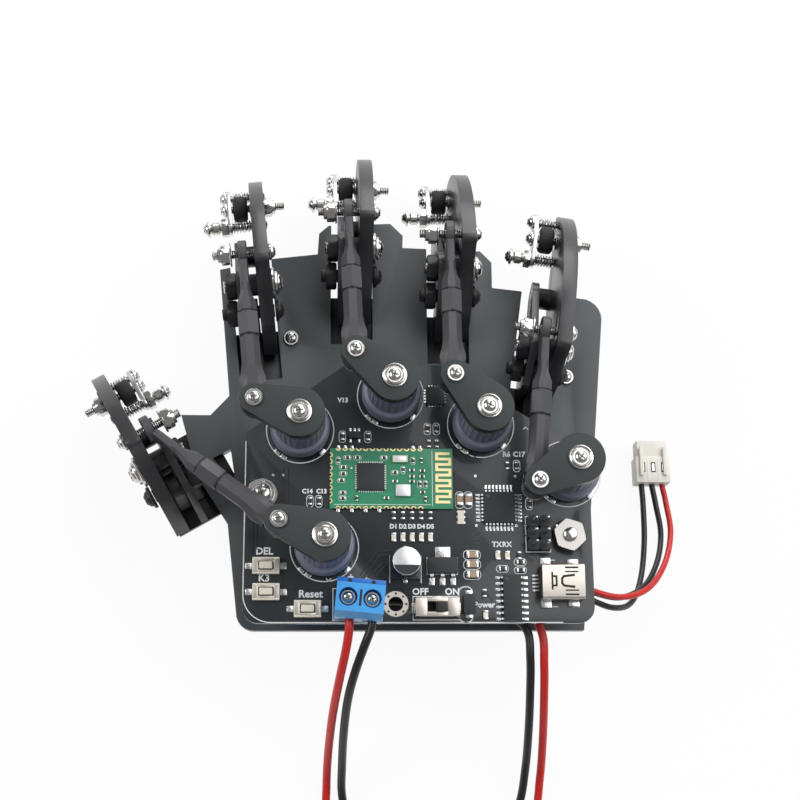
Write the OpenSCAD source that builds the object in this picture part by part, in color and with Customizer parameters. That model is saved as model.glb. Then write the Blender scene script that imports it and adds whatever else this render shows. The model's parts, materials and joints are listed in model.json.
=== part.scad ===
// Wearable hand exoskeleton that reads the bend of five fingers.
// Each finger has a pair of black side plates that swing on a knuckle bolt. A ball-link
// rod carries that swing back to an arm on a rotary sensor, on one circuit board.
// Frame: +Z up off the back of the hand, +Y to the fingertips, +X to the little finger.
// The origin lies on the underside of the hand plate, under the middle of the board.

/* [Hand plate] */
// Thickness of the hand plate
plate_t = 3; // [2:0.5:4]
// Radius of the two outer corners of the hand plate
plate_corner_r = 5; // [2:0.5:8]
// Radius of the corner at the wrist on the thumb side
wrist_corner_r = 4; // [1:0.5:6]
// Y of the straight wrist edge
wrist_y = -29; // [-32:0.5:-29]
// Width of the plate at the wrist
wrist_w = 78; // [76:0.5:84]

/* [Circuit board] */
// Width of the circuit board
pcb_w = 76; // [74:0.5:80]
// Length of the circuit board
pcb_l = 57.5; // [57:0.5:58]
// Thickness of the circuit board
pcb_t = 1.6; // [1:0.1:2.4]
// Radius of the board's corners at the wrist
pcb_corner_r = 3.5; // [1:0.5:5]
// Height of the standoffs under the board
standoff_h = 12; // [11:0.5:16]
// Width across the flats of a standoff
standoff_af = 5.5; // [5:0.5:7]
// Diameter of the board's mounting holes
board_hole_d = 3.2; // [3.1:0.1:3.6]

/* [Rotary sensors] */
// Diameter of the smooth skirt of a sensor knob
knob_skirt_d = 13; // [12:0.1:13.6]
// Diameter of the ribbed part of a sensor knob
knob_d = 10.8; // [10:0.1:11.2]
// Height of the smooth skirt
skirt_h = 4.2; // [3:0.1:6]
// Height of a knob from skirt to arm
knob_h = 13; // [10:0.5:14]
// Number of grooves round a knob
knob_grooves = 18; // [12:1:24]
// Gap between the board and a knob
knob_lift = 1; // [0.5:0.1:2]
// Diameter of the round sensor body inside the skirt
sensor_d = 10; // [8:0.1:11]
// Diameter of the sensor spindle
spindle_d = 4; // [3:0.1:6]

/* [Swing arms] */
// Distance from the hub to the rod end of an arm
arm_l = 10; // [9.6:0.1:12]
// Thickness of an arm
arm_t = 3; // [2:0.1:4]
// Radius of an arm at the hub
arm_hub_r = 5.4; // [4:0.1:6.4]
// Radius of an arm at the rod
arm_tip_r = 3.2; // [2.6:0.1:4]

/* [Ball-link rods] */
// Outer radius of a rod eye
eye_r = 3; // [2.8:0.1:3.4]
// Radius of the opening in a rod eye
eye_bore_r = 2.3; // [2.1:0.1:2.4]
// Thickness of a rod eye
eye_t = 1.8; // [1.6:0.1:2.4]
// Length of the flat neck behind the far eye
neck_l = 7.5; // [6:0.1:9]
// Half height of the flat neck at its end
neck_r = 2.2; // [1.8:0.1:2.6]
// Diameter of a rod's barrel
barrel_d = 4.2; // [3.6:0.1:4.6]
// Width across the flats of the hexagonal sleeve
sleeve_af = 3.9; // [3.4:0.1:4.4]
// Length of the hexagonal sleeve
sleeve_l = 5.2; // [4:0.1:7]
// Gap between the arm and the rod eye below it
eye_drop = 1.3; // [1:0.1:1.6]
// Gap between a finger plate and the rod eye beside it
eye_gap = 1.6; // [1.3:0.1:1.8]
// More room on the thumb's stud, whose rod comes in at a slant
thumb_gap = 0.7; // [0.5:0.1:1]

/* [Finger plates] */
// Thickness of the arched finger plate
arch_t = 3.2; // [2.5:0.1:3.4]
// Thickness of the inner side plate
cheek_t = 1.6; // [1.2:0.1:2]
// Clear width between the two plates
frame_gap = 3; // [3:0.1:3.4]
// Radius of the arched top edge
arch_r = 38; // [37:0.5:40]
// Length of the tail below the knuckle bolt
tail_l = 11.8; // [9:0.1:12]
// Height of the rod stud above the knuckle bolt
stud_up = 15.5; // [15:0.1:15.8]
// Reach of the rod stud ahead of the knuckle bolt
stud_ahead = 3.5; // [3:0.1:4]
// Reach of the roller axle ahead of the knuckle bolt
axle_ahead = 33.2; // [32.6:0.1:33.4]
// Distance from the axle to each spring screw
spring_pitch = 4.9; // [4.8:0.1:5.1]
// Height of the knuckle bolt above the underside of the hand plate
knuckle_z = 12.5; // [12.5:0.5:14]

/* [Rollers and springs] */
// Radius of a roller
roller_r = 3.1; // [2.8:0.05:3.15]
// Width of a roller
roller_w = 3.5; // [3:0.1:3.6]
// Radius of the roller's steel hub
roller_hub_r = 1.8; // [1.5:0.1:2.2]
// Distance from the arched plate to the steel clamp plate
clamp_off = 4.7; // [4.6:0.1:5.2]
// Thickness of the steel clamp plate
clamp_t = 1; // [0.8:0.1:1.4]
// Mean radius of a spring
spring_r = 1.28; // [1.26:0.01:1.3]
// Diameter of the spring wire
spring_wire_d = 0.3; // [0.2:0.05:0.3]
// Turns of a spring
spring_turns = 6; // [4:1:7]

/* [Bolts] */
// Radius of the small steel bolts
m2_r = 1; // [0.9:0.05:1.05]
// Radius of the plate and board screws
m3_r = 1.5; // [1.4:0.05:1.5]
// Radius of the nylon knuckle bolts
knuckle_r = 1.5; // [1.3:0.05:1.6]
// Clearance round a bolt that only clamps
bolt_play = 0.1; // [0.08:0.01:0.15]
// Running clearance round a bolt that something turns on
run_play = 0.05; // [0.03:0.01:0.08]
// Gap between faces that slide past each other
side_gap = 0.3; // [0.3:0.05:0.35]
// Hairline gap under a head or nut
seat = 0.02; // [0.01:0.01:0.04]

/* [Hidden] */
FINGERS = ["thumb", "index", "middle", "ring", "little"];
$fn = 48;
cut = 0.05;

// One row a finger: sensor centre, angle of its arm, knuckle, turn and bend of the finger
// at rest, and the side that its arched plate is on (1 for the little finger's side)
THUMB = [[-20.5, -12.5], 161, [-53.7, 1.75], 30, 31, -1];
INDEX = [[-26, 13.5], 163, [-37, 42], 6, 24, 1];
MIDDLE = [[-6, 21.5], 145, [-14.7, 51], 0, 32, 1];
RING = [[14, 15], 135, [8, 46.5], 0, 29, 1];
LITTLE = [[33, 4], 209, [27.6, 28.6], -8, 6, 1];
ROWS = [THUMB, INDEX, MIDDLE, RING, LITTLE];

// Heights of the stack over the hand
pcb_z = plate_t + standoff_h;
pcb_top = pcb_z + pcb_t;
knob_z = pcb_top + knob_lift;
arm_z = knob_z + knob_h;
eye_z = arm_z - eye_drop - eye_t / 2;

// Places across a finger, from the middle of the gap between its plates
arch_x = frame_gap / 2;
arch_out = arch_x + arch_t;
cheek_x = -frame_gap / 2;
cheek_out = cheek_x - cheek_t;
eye_x = arch_x - eye_gap - eye_t / 2;
clamp_x = arch_x - clamp_off;
clamp_out = clamp_x - clamp_t;
roller_x0 = clamp_x + 0.4;
roller_x1 = roller_x0 + roller_w;

// Outline of the arched plate, seen from the side (forward, up)
arch_top = stud_up + 3;
arch_back = stud_ahead - 4.7;
arch_cx = stud_ahead + 3.6;
arch_cy = arch_top - sqrt(arch_r * arch_r - (arch_cx - arch_back) * (arch_cx - arch_back));
nose_low = -4.5;
nose_a = asin((nose_low - arch_cy) / arch_r);
corner_r = 1.5;
tail_w = 6.4;

// Fasteners
m2_head_r = 1.9;
m2_head_h = 1.5;
m2_nut_af = 4;
m2_nut_h = 1.6;
m2_locknut_h = 2.6;
m3_head_r = 2.75;
m3_head_h = 1.8;
m3_nut_af = 5.5;
m3_nut_h = 2.4;
rear_screw = axle_ahead - spring_pitch;
front_screw = axle_ahead + spring_pitch;
screw_low = -0.5;
spacer_up = [3.4, 5.4];
spacer_front = [19, -1.5];
spacer_r = 2.5;

function arc(c, r, a0, a1, n) =
    [for (i = [0:n]) let (a = a0 + (a1 - a0) * i / n) [c.x + r * cos(a), c.y + r * sin(a)]];
function at_arm(f) = [f[0].x + arm_l * cos(f[1]), f[0].y + arm_l * sin(f[1]), eye_z];
function in_world(f, p) =
    let (b = f[4], t = f[3], x = f[5] * p.x,
        y = p.y * cos(b) + p.z * sin(b), z = p.z * cos(b) - p.y * sin(b))
    [f[2].x + x * cos(t) - y * sin(t), f[2].y + x * sin(t) + y * cos(t), knuckle_z + z];

module finger_frame(f, bent = true) {
    translate([f[2].x, f[2].y, knuckle_z])
        rotate([bent ? -f[4] : 0, 0, f[3]])
            if (f[5] < 0) mirror([1, 0, 0]) children();
            else children();
}
module slab(x0, x1) {
    translate([x0, 0, 0]) rotate([90, 0, 90]) linear_extrude(x1 - x0) children();
}
module pin(x0, x1, r, at = [0, 0]) {
    translate([x0, at.x, at.y]) rotate([0, 90, 0]) cylinder(h = x1 - x0, r = r);
}
module post(z0, z1, r, at = [0, 0]) {
    translate([at.x, at.y, z0]) cylinder(h = z1 - z0, r = r);
}
module hex_x(x0, x1, af, at = [0, 0], bore = 0) {
    difference() {
        translate([x0, at.x, at.y]) rotate([0, 90, 0])
            cylinder(h = x1 - x0, d = af / cos(30), $fn = 6);
        if (bore > 0) pin(x0 - 1, x1 + 1, bore, at);
    }
}
module hex_z(z0, z1, af, at = [0, 0], bore = 0) {
    difference() {
        translate([at.x, at.y, z0]) cylinder(h = z1 - z0, d = af / cos(30), $fn = 6);
        if (bore > 0) post(z0 - 1, z1 + 1, bore, at);
    }
}
module ring_x(x0, x1, r, bore, at = [0, 0]) {
    difference() {
        pin(x0, x1, r, at);
        pin(x0 - 1, x1 + 1, bore, at);
    }
}
module ring_z(z0, z1, r, bore, at = [0, 0]) {
    difference() {
        post(z0, z1, r, at);
        post(z0 - 1, z1 + 1, bore, at);
    }
}
module teardrop(r1, r2, d) {
    a = acos((r1 - r2) / d);
    polygon(concat(arc([0, 0], r1, a, 360 - a, 36), arc([d, 0], r2, -a, a, 14)));
}

// Outline of the hand plate, counterclockwise from the wrist on the thumb side
function plate_outline() = concat(
    arc([-wrist_w / 2 - 1 + wrist_corner_r, wrist_y + wrist_corner_r], wrist_corner_r, 180, 270, 6),
    [[wrist_w / 2 - 1, wrist_y], [42.8, 24]],
    arc([45 - plate_corner_r, 49.5 - plate_corner_r], plate_corner_r, 0, 90, 6),
    [[27.3, 51], [19, 51.9], [19, 58.3], [16.3, 61.1], [-2.3, 61.7], [-2.2, 64.8], [-5.2, 67.8],
    [-19.9, 67.1], [-22.2, 65], [-22.5, 59.8], [-33.1, 58.5], [-45.5, 55.6], [-43.8, 37.7],
    [-42.6, 24.8], [-46.8, 20.2], [-53.5, 20.2], [-49.2, 5.5], [-42.3, -5]]);
strap_screws = [[-28.5, 38.8], [35.9, 30]];
board_screws = [[-pcb_w / 2 + 3.9, -0.8], [pcb_w / 2 - 5.2, -9.9]];
slot_back = tail_l + 1.7;
foot_t = 3;
foot_w = 11;
foot_u = -19;
foot_l = 10;
thumb_foot = [8, 5.5];
thumb_foot_side = 9.8;
thumb_screw = [thumb_foot_side, 8];
lug_t = frame_gap - 2 * side_gap;
lug_r = 3.1;
slot_side = 0.5;

module hand_plate() {
    color("#43494b") difference() {
        linear_extrude(plate_t) difference() {
            polygon(plate_outline());
            polygon([[-46, 10], [-42, 12.3], [-40.7, 4.2]]);
        }
        for (f = ROWS) finger_frame(f, false)
            translate([cheek_out - 3 * slot_side, -slot_back, -knuckle_z - 1])
                cube([arch_out - cheek_out + 4 * slot_side, 60, plate_t + 2]);
        for (p = concat(strap_screws, board_screws)) post(-1, plate_t + 1, m3_r + bolt_play, p);
        for (f = [INDEX, MIDDLE, RING, LITTLE]) finger_frame(f, false)
            post(-knuckle_z - 1, plate_t - knuckle_z - 0.6, m2_r + bolt_play, [0, foot_u]);
        translate([THUMB[2].x, THUMB[2].y, 0]) rotate(THUMB[3])
            post(-1, plate_t - 0.6, m2_r + bolt_play, thumb_screw);
    }
}
module lug() {
    slab(-lug_t / 2, lug_t / 2) difference() {
        union() {
            circle(r = lug_r);
            polygon([[lug_r, 0], [-lug_r, 0], [-4.5, -8], [-slot_back + 0.6, -knuckle_z],
                [-slot_back - 0.5, -knuckle_z], [-slot_back - 0.5, -knuckle_z - foot_t],
                [0, -knuckle_z - foot_t], [2.5, -9]]);
        }
        circle(r = knuckle_r + bolt_play);
    }
}
module knuckle_brackets() {
    color("#1c1e20") {
        for (f = [INDEX, MIDDLE, RING, LITTLE]) finger_frame(f, false) {
            lug();
            difference() {
                translate([-foot_w / 2, foot_u - foot_l / 2, -knuckle_z - foot_t])
                    cube([foot_w, foot_l, foot_t]);
                post(-knuckle_z - foot_t - 1, 0, m2_r + bolt_play, [0, foot_u]);
            }
        }
        translate([THUMB[2].x, THUMB[2].y, knuckle_z]) rotate(THUMB[3]) {
            slab(-lug_t / 2, lug_t / 2) difference() {
                union() {
                    circle(r = lug_r);
                    polygon([[lug_r, 0], [-lug_r, 0], [-4, -9], [-3, -knuckle_z - foot_t],
                        [3, -knuckle_z - foot_t], [2.5, -9]]);
                }
                circle(r = knuckle_r + bolt_play);
            }
            difference() {
                translate([0, 0, -knuckle_z - foot_t]) union() {
                    translate([-lug_t / 2, -3, 0]) cube([thumb_foot_side, 6, foot_t]);
                    translate([thumb_foot.y, -3, 0]) cube([thumb_foot.x, 15, foot_t]);
                }
                post(-knuckle_z - foot_t - 1, 0, m2_r + bolt_play, thumb_screw);
            }
        }
    }
}
module knuckle_bolts() {
    color("#26282a") for (f = ROWS) finger_frame(f, false) {
        pin(cheek_out - side_gap - m3_nut_h - 1.2, arch_out + side_gap + cut, knuckle_r);
        pin(arch_out + side_gap, arch_out + side_gap + 2, 2.6);
        hex_x(cheek_out - side_gap - m3_nut_h, cheek_out - side_gap, m3_nut_af, [0, 0], knuckle_r + seat);
    }
}
module board_screw(p) {
    ring_z(pcb_top + seat, pcb_top + 0.6, 3.4, m3_r + seat, p);
    post(pcb_top + 0.6 + seat, pcb_top + 0.6 + m3_head_h, m3_head_r, p);
    post(pcb_z - 4, pcb_top + 0.7, m3_r, p);
}
module foot_screw(p) {
    post(-foot_t - m2_head_h, -foot_t - seat, m2_head_r, p);
    post(-foot_t - 0.1, plate_t - 0.8, m2_r, p);
}
module machine_screws() {
    color("#d4d6d8") {
        for (p = board_screws) {
            post(-m3_head_h, -seat, m3_head_r, p);
            post(-0.1, plate_t + 4, m3_r, p);
        }
        board_screw(board_screws[0]);
        post(pcb_z - 4, pcb_top + m3_nut_h + 1, m3_r, board_screws[1]);
        hex_z(pcb_top + seat, pcb_top + m3_nut_h, m3_nut_af + 1, board_screws[1], m3_r + seat);
        for (p = strap_screws) {
            post(plate_t + seat, plate_t + m3_head_h, m3_head_r, p);
            post(-m3_nut_h - 0.6, plate_t + 0.1, m3_r, p);
            hex_z(-m3_nut_h, -seat, m3_nut_af, p, m3_r + seat);
        }
        for (f = [INDEX, MIDDLE, RING, LITTLE]) finger_frame(f, false)
            translate([0, 0, -knuckle_z]) foot_screw([0, foot_u]);
        translate([THUMB[2].x, THUMB[2].y, 0]) rotate(THUMB[3]) foot_screw(thumb_screw);
    }
}
module standoffs() {
    color("#c9b27a") for (p = board_screws) hex_z(plate_t, pcb_z, standoff_af, p, m3_r + bolt_play);
}

// Finger unit, in the frame of its knuckle: X across, Y forward, Z up
tail_half = tail_w / 2;
arch_a1 = acos((arch_back + corner_r - arch_cx) / arch_r);
function arch_outline() = concat(
    [[-tail_half, -tail_l], [tail_half, -tail_l], [6, -6], [axle_ahead + 5, -6.5]],
    [[arch_cx + arch_r * cos(nose_a) - 1.3, nose_low - 1.6]],
    arc([arch_cx, arch_cy], arch_r, nose_a, arch_a1, 24),
    arc([arch_back + corner_r, arch_cy + arch_r * sin(arch_a1) - corner_r], corner_r, 100, 180, 5),
    [[arch_back, 8], [-4.2, 3], [-4.2, -4]]);

module finger_arch_plate(f) {
    color("#1b1d1f") finger_frame(f) difference() {
        slab(arch_x, arch_out) polygon(arch_outline());
        pin(arch_x - 1, arch_out + 1, knuckle_r + run_play);
        pin(arch_x - 1, arch_out + 1, m2_r + bolt_play, [stud_ahead, stud_up]);
        pin(arch_x - 1, arch_out + 1, m3_r + bolt_play, spacer_up);
        pin(arch_x - 1, arch_out + 1, m2_r + bolt_play, spacer_front);
        for (u = [rear_screw, front_screw])
            pin(arch_x - 1, arch_out + 1, m2_r + bolt_play, [u, screw_low]);
        pin(arch_x - 1, arch_out + 1, m2_r + bolt_play, [axle_ahead, -screw_low]);
    }
}
module finger_side_plate(f) {
    bar_half = 3.6;
    color("#202325") finger_frame(f) {
        difference() {
            slab(cheek_out, cheek_x) union() {
                polygon([[-tail_half, -tail_l], [tail_half, -tail_l], [4.5, 0], [-4.5, 0]]);
                circle(r = 4.5);
                translate(spacer_up) circle(r = 3.8);
                polygon([[-4.3, 1.5], [spacer_up.x - 3.4, spacer_up.y + 1.7],
                    [spacer_up.x + 1, spacer_up.y + 3.65],
                    [spacer_front.x, spacer_front.y + bar_half],
                    [spacer_front.x, spacer_front.y - bar_half], [3, -3.3]]);
                translate(spacer_front) circle(r = bar_half);
            }
            pin(cheek_out - 1, cheek_x + 1, knuckle_r + run_play);
            pin(cheek_out - 1, cheek_x + 1, m3_r + bolt_play, spacer_up);
            pin(cheek_out - 1, cheek_x + 1, m2_r + bolt_play, spacer_front);
        }
        ring_x(cheek_x, arch_x, spacer_r, m3_r + bolt_play, spacer_up);
        ring_x(cheek_x, arch_x, spacer_r, m2_r + bolt_play, spacer_front);
    }
}
module spring(x0, x1, r, wire, turns, at) {
    steps = 8;
    n = turns * steps;
    pitch = (x1 - x0 - wire) / n;
    pts = [for (i = [0:n], k = [0:3])
        let (a = 360 * i / steps, q = r + wire / 2 * cos(90 * k))
        [x0 + wire / 2 + pitch * i + wire / 2 * sin(90 * k), at.x + q * cos(a), at.y + q * sin(a)]];
    sides = [for (i = [0:n - 1], k = [0:3])
        [4 * i + k, 4 * i + (k + 1) % 4, 4 * i + 4 + (k + 1) % 4, 4 * i + 4 + k]];
    polyhedron(pts, concat([[3, 2, 1, 0]], sides, [[for (k = [0:3]) 4 * n + k]]));
}
module finger_hardware(f) {
    axle = [axle_ahead, -screw_low];
    stud = [stud_ahead, stud_up];
    rear = [rear_screw, screw_low];
    front = [front_screw, screw_low];
    stud_x = eye_x - eye_t / 2 - eye_gap - (f[5] < 0 ? thumb_gap : 0);
    post_x = clamp_out - m2_nut_h - 2.8;
    color("#c8cacd") finger_frame(f) {
        // screw and washer through the upper spacer
        ring_x(arch_out + seat, arch_out + 0.8, 3.6, m3_r + seat, spacer_up);
        pin(arch_out + 0.8 + seat, arch_out + 0.8 + m3_head_h, m3_head_r, spacer_up);
        pin(cheek_out - m3_nut_h - 0.6, arch_out + 0.9, m3_r, spacer_up);
        hex_x(cheek_out - m3_nut_h, cheek_out - seat, m3_nut_af, spacer_up, m3_r + seat);
        // rivet through the front spacer, flush with both plates
        pin(cheek_out, arch_out, m2_r, spacer_front);
        // stud that the rod's eye hangs on
        pin(arch_out + seat, arch_out + m2_head_h, m2_head_r, stud);
        pin(stud_x - 0.4 - m2_locknut_h - 1.2, arch_out + 0.1, m2_r, stud);
        ring_x(stud_x - 0.4, stud_x, 2.6, m2_r + seat, stud);
        hex_x(stud_x - 0.4 - m2_locknut_h, stud_x - 0.4 - seat, m2_nut_af, stud, m2_r + seat);
        // clamp plate, drawn toward the arched plate by the two spring screws
        difference() {
            slab(clamp_out, clamp_x) union() {
                polygon([[rear.x, rear.y - 1.9], [front.x, front.y - 1.9],
                    [front.x, front.y + 1.9], [axle.x + 1.8, axle.y + 1.7],
                    [axle.x - 1.8, axle.y + 1.7], [rear.x, rear.y + 1.9]]);
                translate(rear) circle(r = 1.9);
                translate(front) circle(r = 1.9);
            }
            for (p = [rear, front, axle]) pin(clamp_out - 1, clamp_x + 1, m2_r + bolt_play, p);
        }
        // axle bolt with its lock nut outside the arched plate
        pin(clamp_out - 1.6, clamp_out - seat, m2_head_r, axle);
        pin(clamp_out - 0.1, arch_out + m2_locknut_h + 2.2, m2_r, axle);
        ring_x(arch_x - 0.4, arch_x - seat, m2_head_r, m2_r + seat, axle);
        hex_x(arch_out + seat, arch_out + m2_locknut_h, m2_nut_af, axle, m2_r + seat);
        // spring screws
        pin(post_x - 1.4, post_x, m2_head_r, rear);
        pin(post_x - 0.1, arch_out + 0.4, m2_r, rear);
        ring_x(post_x + seat, clamp_out - m2_nut_h - seat, 1.5, m2_r + seat, rear);
        hex_x(clamp_out - m2_nut_h, clamp_out - seat, m2_nut_af, rear, m2_r + seat);
        pin(clamp_out - 1.4, clamp_out - seat, m2_head_r, front);
        pin(clamp_out - 0.1, arch_out + 0.4, m2_r, front);
        for (p = [rear, front]) spring(clamp_x + seat, arch_x - seat, spring_r, spring_wire_d, spring_turns, p);
    }
}
module finger_roller(f) {
    axle = [axle_ahead, -screw_low];
    groove = 0.35;
    color("#17181a") finger_frame(f) difference() {
        union() {
            pin(roller_x0 + 0.4, roller_x1 - 0.4, roller_r, axle);
            pin(roller_x0, roller_x1, roller_r - 0.4, axle);
        }
        pin(roller_x0 - 1, roller_x1 + 1, m2_r + run_play, axle);
        ring_x(roller_x0 - 1, roller_x0 + groove, roller_hub_r + 0.3, roller_hub_r, axle);
    }
}
module finger_knob(f) {
    ceiling = 1.9;
    color("#5d5e72") translate([f[0].x, f[0].y, knob_z]) {
        difference() {
            union() {
                cylinder(h = skirt_h, r = knob_skirt_d / 2);
                cylinder(h = knob_h, r = knob_d / 2);
            }
            translate([0, 0, -1]) cylinder(h = ceiling + 1, r = sensor_d / 2 + 0.4);
            for (i = [0:knob_grooves - 1]) rotate(i * 360 / knob_grooves)
                post(skirt_h + 0.8, knob_h - 0.8, 0.45, [knob_d / 2 + 0.15, 0]);
            post(knob_h - 6, knob_h + 1, m2_r + bolt_play);
        }
        post(-0.4, ceiling + cut, spindle_d / 2);
    }
}
module finger_arm(f) {
    head_z = arm_z + arm_t;
    washer_z = eye_z - eye_t / 2 - eye_gap - 0.4;
    tip = [arm_l, 0];
    color("#2d3333") translate([f[0].x, f[0].y, 0]) rotate(f[1]) difference() {
        translate([0, 0, arm_z]) linear_extrude(arm_t) teardrop(arm_hub_r, arm_tip_r, arm_l);
        post(arm_z - 1, head_z + 1, m2_r + bolt_play);
        post(arm_z - 1, head_z + 1, m2_r + bolt_play, tip);
    }
    color("#d4d6d8") translate([f[0].x, f[0].y, 0]) rotate(f[1]) {
        // hub screw on its cup washer
        post(head_z + seat, head_z + 0.5, 2.6);
        post(head_z + 0.5 - cut, head_z + 1.5, m2_head_r);
        post(arm_z - 5, head_z + 0.5, m2_r);
        // link screw that the rod's near eye hangs on
        post(head_z + seat, head_z + m2_head_h, m2_head_r, tip);
        post(washer_z - m2_nut_h - 0.4, head_z + 0.5, m2_r, tip);
        ring_z(washer_z, washer_z + 0.4, 2.8, m2_r + seat, tip);
        hex_z(washer_z - m2_nut_h, washer_z - seat, m2_nut_af, tip, m2_r + seat);
    }
}
module finger_rod(f) {
    a = at_arm(f);
    b = in_world(f, [eye_x, stud_ahead, stud_up]);
    d = b - a;
    len = norm(d);
    heading = atan2(d.y, d.x);
    rise = asin(d.z / len);
    sleeve0 = (len - sleeve_l) / 2;
    flare = 9;
    far_flare = 12;
    collar = 0.6;
    collar_r = barrel_d / 2 + 0.2;
    color("#4a474f") difference() {
        union() {
            translate(a) rotate([0, -rise, heading]) {
                pin(flare + collar / 2, len - far_flare - collar / 2, barrel_d / 2);
                hex_x(sleeve0, sleeve0 + sleeve_l, sleeve_af + 0.9);
            }
            hull() {
                translate([a.x, a.y, a.z - eye_t / 2]) cylinder(h = eye_t, r = eye_r, $fn = 32);
                translate(a) rotate([0, 90 - rise, heading]) translate([0, 0, flare])
                    cylinder(h = collar, r = collar_r, $fn = 32);
            }
            hull() {
                translate(b) rotate([0, 0, f[3]]) rotate([0, 90, 0])
                    cylinder(h = eye_t, r = eye_r, center = true, $fn = 32);
                translate(a) rotate([0, -rise, heading]) translate([len - neck_l, 0, 0])
                    cube([1, eye_t, 2 * neck_r], center = true);
            }
            hull() {
                translate(a) rotate([0, -rise, heading]) translate([len - neck_l, 0, 0])
                    cube([1, eye_t, 2 * neck_r], center = true);
                translate(a) rotate([0, 90 - rise, heading]) translate([0, 0, len - far_flare - collar])
                    cylinder(h = collar, r = collar_r, $fn = 32);
            }
        }
        post(a.z - 5, a.z + 5, eye_bore_r, a);
        translate(b) rotate([0, 0, f[3]]) rotate([0, 90, 0])
            cylinder(h = 12, r = eye_bore_r, center = true);
    }
}

// Places on the circuit board
board_y0 = wrist_y + 0.2;
module_at = [-19.4, -4.1];
module_size = [26.9, 13.4, 0.8];
chip_at = [17.4, -3.9];
driver_at = [3.9, 21.5];
serial_at = [19.4, -23.5];
header_at = [26.1, -9.5];
usb_size = [9.2, 7.6, 3.9];
usb_at = [pcb_w / 2 - usb_size.x - 2.6, board_y0 + 4.8];
switch_at = [3.6, board_y0 + 3.2];
switch_size = [9.4, 3.8, 3.4];
switch_travel = 1.6;
switch_key = [2.4, 1.9, 4.6];
terminal_at = [-13, board_y0 + 4.3];
terminal_size = [10.2, 8.2, 10];
terminal_turn = 5;
terminal_pitch = 5.08;
wire_hole = 3;
wire_hole_deep = 1.5;
capacitor_at = [-3, -16.2];
regulator_at = [5, -16.5];
diode_at = [10, board_y0 + 4];
board_hole = [-5.1, board_y0 + 4.1];
buttons = [[-pcb_w / 2 + 5, board_y0 + 12.2], [-pcb_w / 2 + 5.1, board_y0 + 6.6],
    [-pcb_w / 2 + 14.7, board_y0 + 2.9]];
button_size = [5.8, 3.6, 1.5];
button_cap = [2.8, 1.5];
button_travel = 0.25;
battery_size = [20, 48, 10];
battery_at = [-28, -28, plate_t];

function board_outline() = concat(
    arc([-pcb_w / 2 + pcb_corner_r, board_y0 + pcb_corner_r], pcb_corner_r, 180, 270, 6),
    arc([pcb_w / 2 - pcb_corner_r, board_y0 + pcb_corner_r], pcb_corner_r, 270, 360, 6),
    [[pcb_w / 2, 8.8], [5, board_y0 + pcb_l], [-16, board_y0 + pcb_l], [-pcb_w / 2, 12.8]]);

module circuit_board() {
    color("#1d2226") translate([0, 0, pcb_z]) difference() {
        linear_extrude(pcb_t) polygon(board_outline());
        for (p = board_screws) post(-1, pcb_t + 1, m3_r + bolt_play, p);
        post(-1, pcb_t + 1, board_hole_d / 2, board_hole);
    }
}
module on_board(p) {
    translate([p.x, p.y, pcb_top]) children();
}
module box_on(p, size) {
    on_board(p) translate([-size.x / 2, -size.y / 2, 0]) cube(size);
}
module radio_module() {
    color("#1f7d4b") on_board(module_at) cube(module_size);
    color("#2b2f33") on_board(module_at) {
        translate([5.2, 4.6, module_size.z]) cube([4.2, 4.2, 0.8]);
        translate([11.6, 10.6, module_size.z]) cube([3, 1.3, 0.6]);
        translate([12.2, 3, module_size.z]) cube([2.8, 2, 0.7]);
    }
}
module gull_chip(p, body, pins, sides, pitch, reach) {
    leg = 0.42;
    on_board(p) {
        translate([-body.x / 2, -body.y / 2, 0.15]) cube([body.x, body.y, body.z]);
        for (s = [0:sides - 1]) rotate(s * (sides == 2 ? 180 : 90)) for (i = [0:pins - 1])
            translate([body.x / 2, (i - (pins - 1) / 2) * pitch - leg / 2, 0]) {
                translate([0, 0, 0.5]) cube([reach / 2, leg, 0.2]);
                translate([reach / 2 - 0.2, 0, 0]) cube([0.2, leg, 0.7]);
                translate([reach / 2 - 0.2, 0, 0]) cube([reach / 2 + 0.2, leg, 0.2]);
            }
    }
}
module chips() {
    color("#23262a") {
        gull_chip(chip_at, [7, 7, 1.1], 8, 4, 0.8, 1.6);
        gull_chip(serial_at, [3.9, 9.9, 1.5], 8, 2, 1.27, 1.05);
        box_on(driver_at, [4, 4, 0.9]);
    }
}
module small_components() {
    color("#8d8f92") {
        // electrolytic capacitor on its square foot
        box_on(capacitor_at, [6.6, 6.6, 0.8]);
        on_board(capacitor_at) post(0.8, 5.6, 3.15);
    }
    color("#23262a") {
        box_on(regulator_at, [6.5, 3.5, 1.6]);
        box_on(regulator_at + [0, 2.6], [3, 1.7, 0.3]);
        box_on(diode_at, [2.6, 4.4, 2.2]);
        // two by three pin header
        box_on(header_at, [5.1, 7.6, 2.5]);
    }
    color("#d8c27a") on_board(header_at) for (x = [-1.27, 1.27], y = [-2.54, 0, 2.54])
        translate([x - 0.3, y - 0.3, 2.5]) cube([0.6, 0.6, 5.2]);
    color("#c9b48c") {
        for (i = [0:4]) box_on([-4.8 + 1.65 * i, -8.8], [1, 3.4, 0.6]);
        for (x = [16.5, 18.6]) box_on([x, -14.4], [1.1, 2.4, 0.6]);
        for (x = [-23.5, -21.6]) box_on([x, -2.3], [1.2, 2, 0.7]);
    }
}
module usb_socket() {
    wall = 0.4;
    color("#cfd2d6") on_board(usb_at) difference() {
        cube(usb_size);
        translate([2.6, wall, wall])
            cube([usb_size.x, usb_size.y - 2 * wall, usb_size.z - 2 * wall]);
    }
    color("#1d1e20") on_board(usb_at)
        translate([2.6, 1.6, 1.4]) cube([usb_size.x - 3.2, usb_size.y - 3.2, 0.9]);
}
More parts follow.
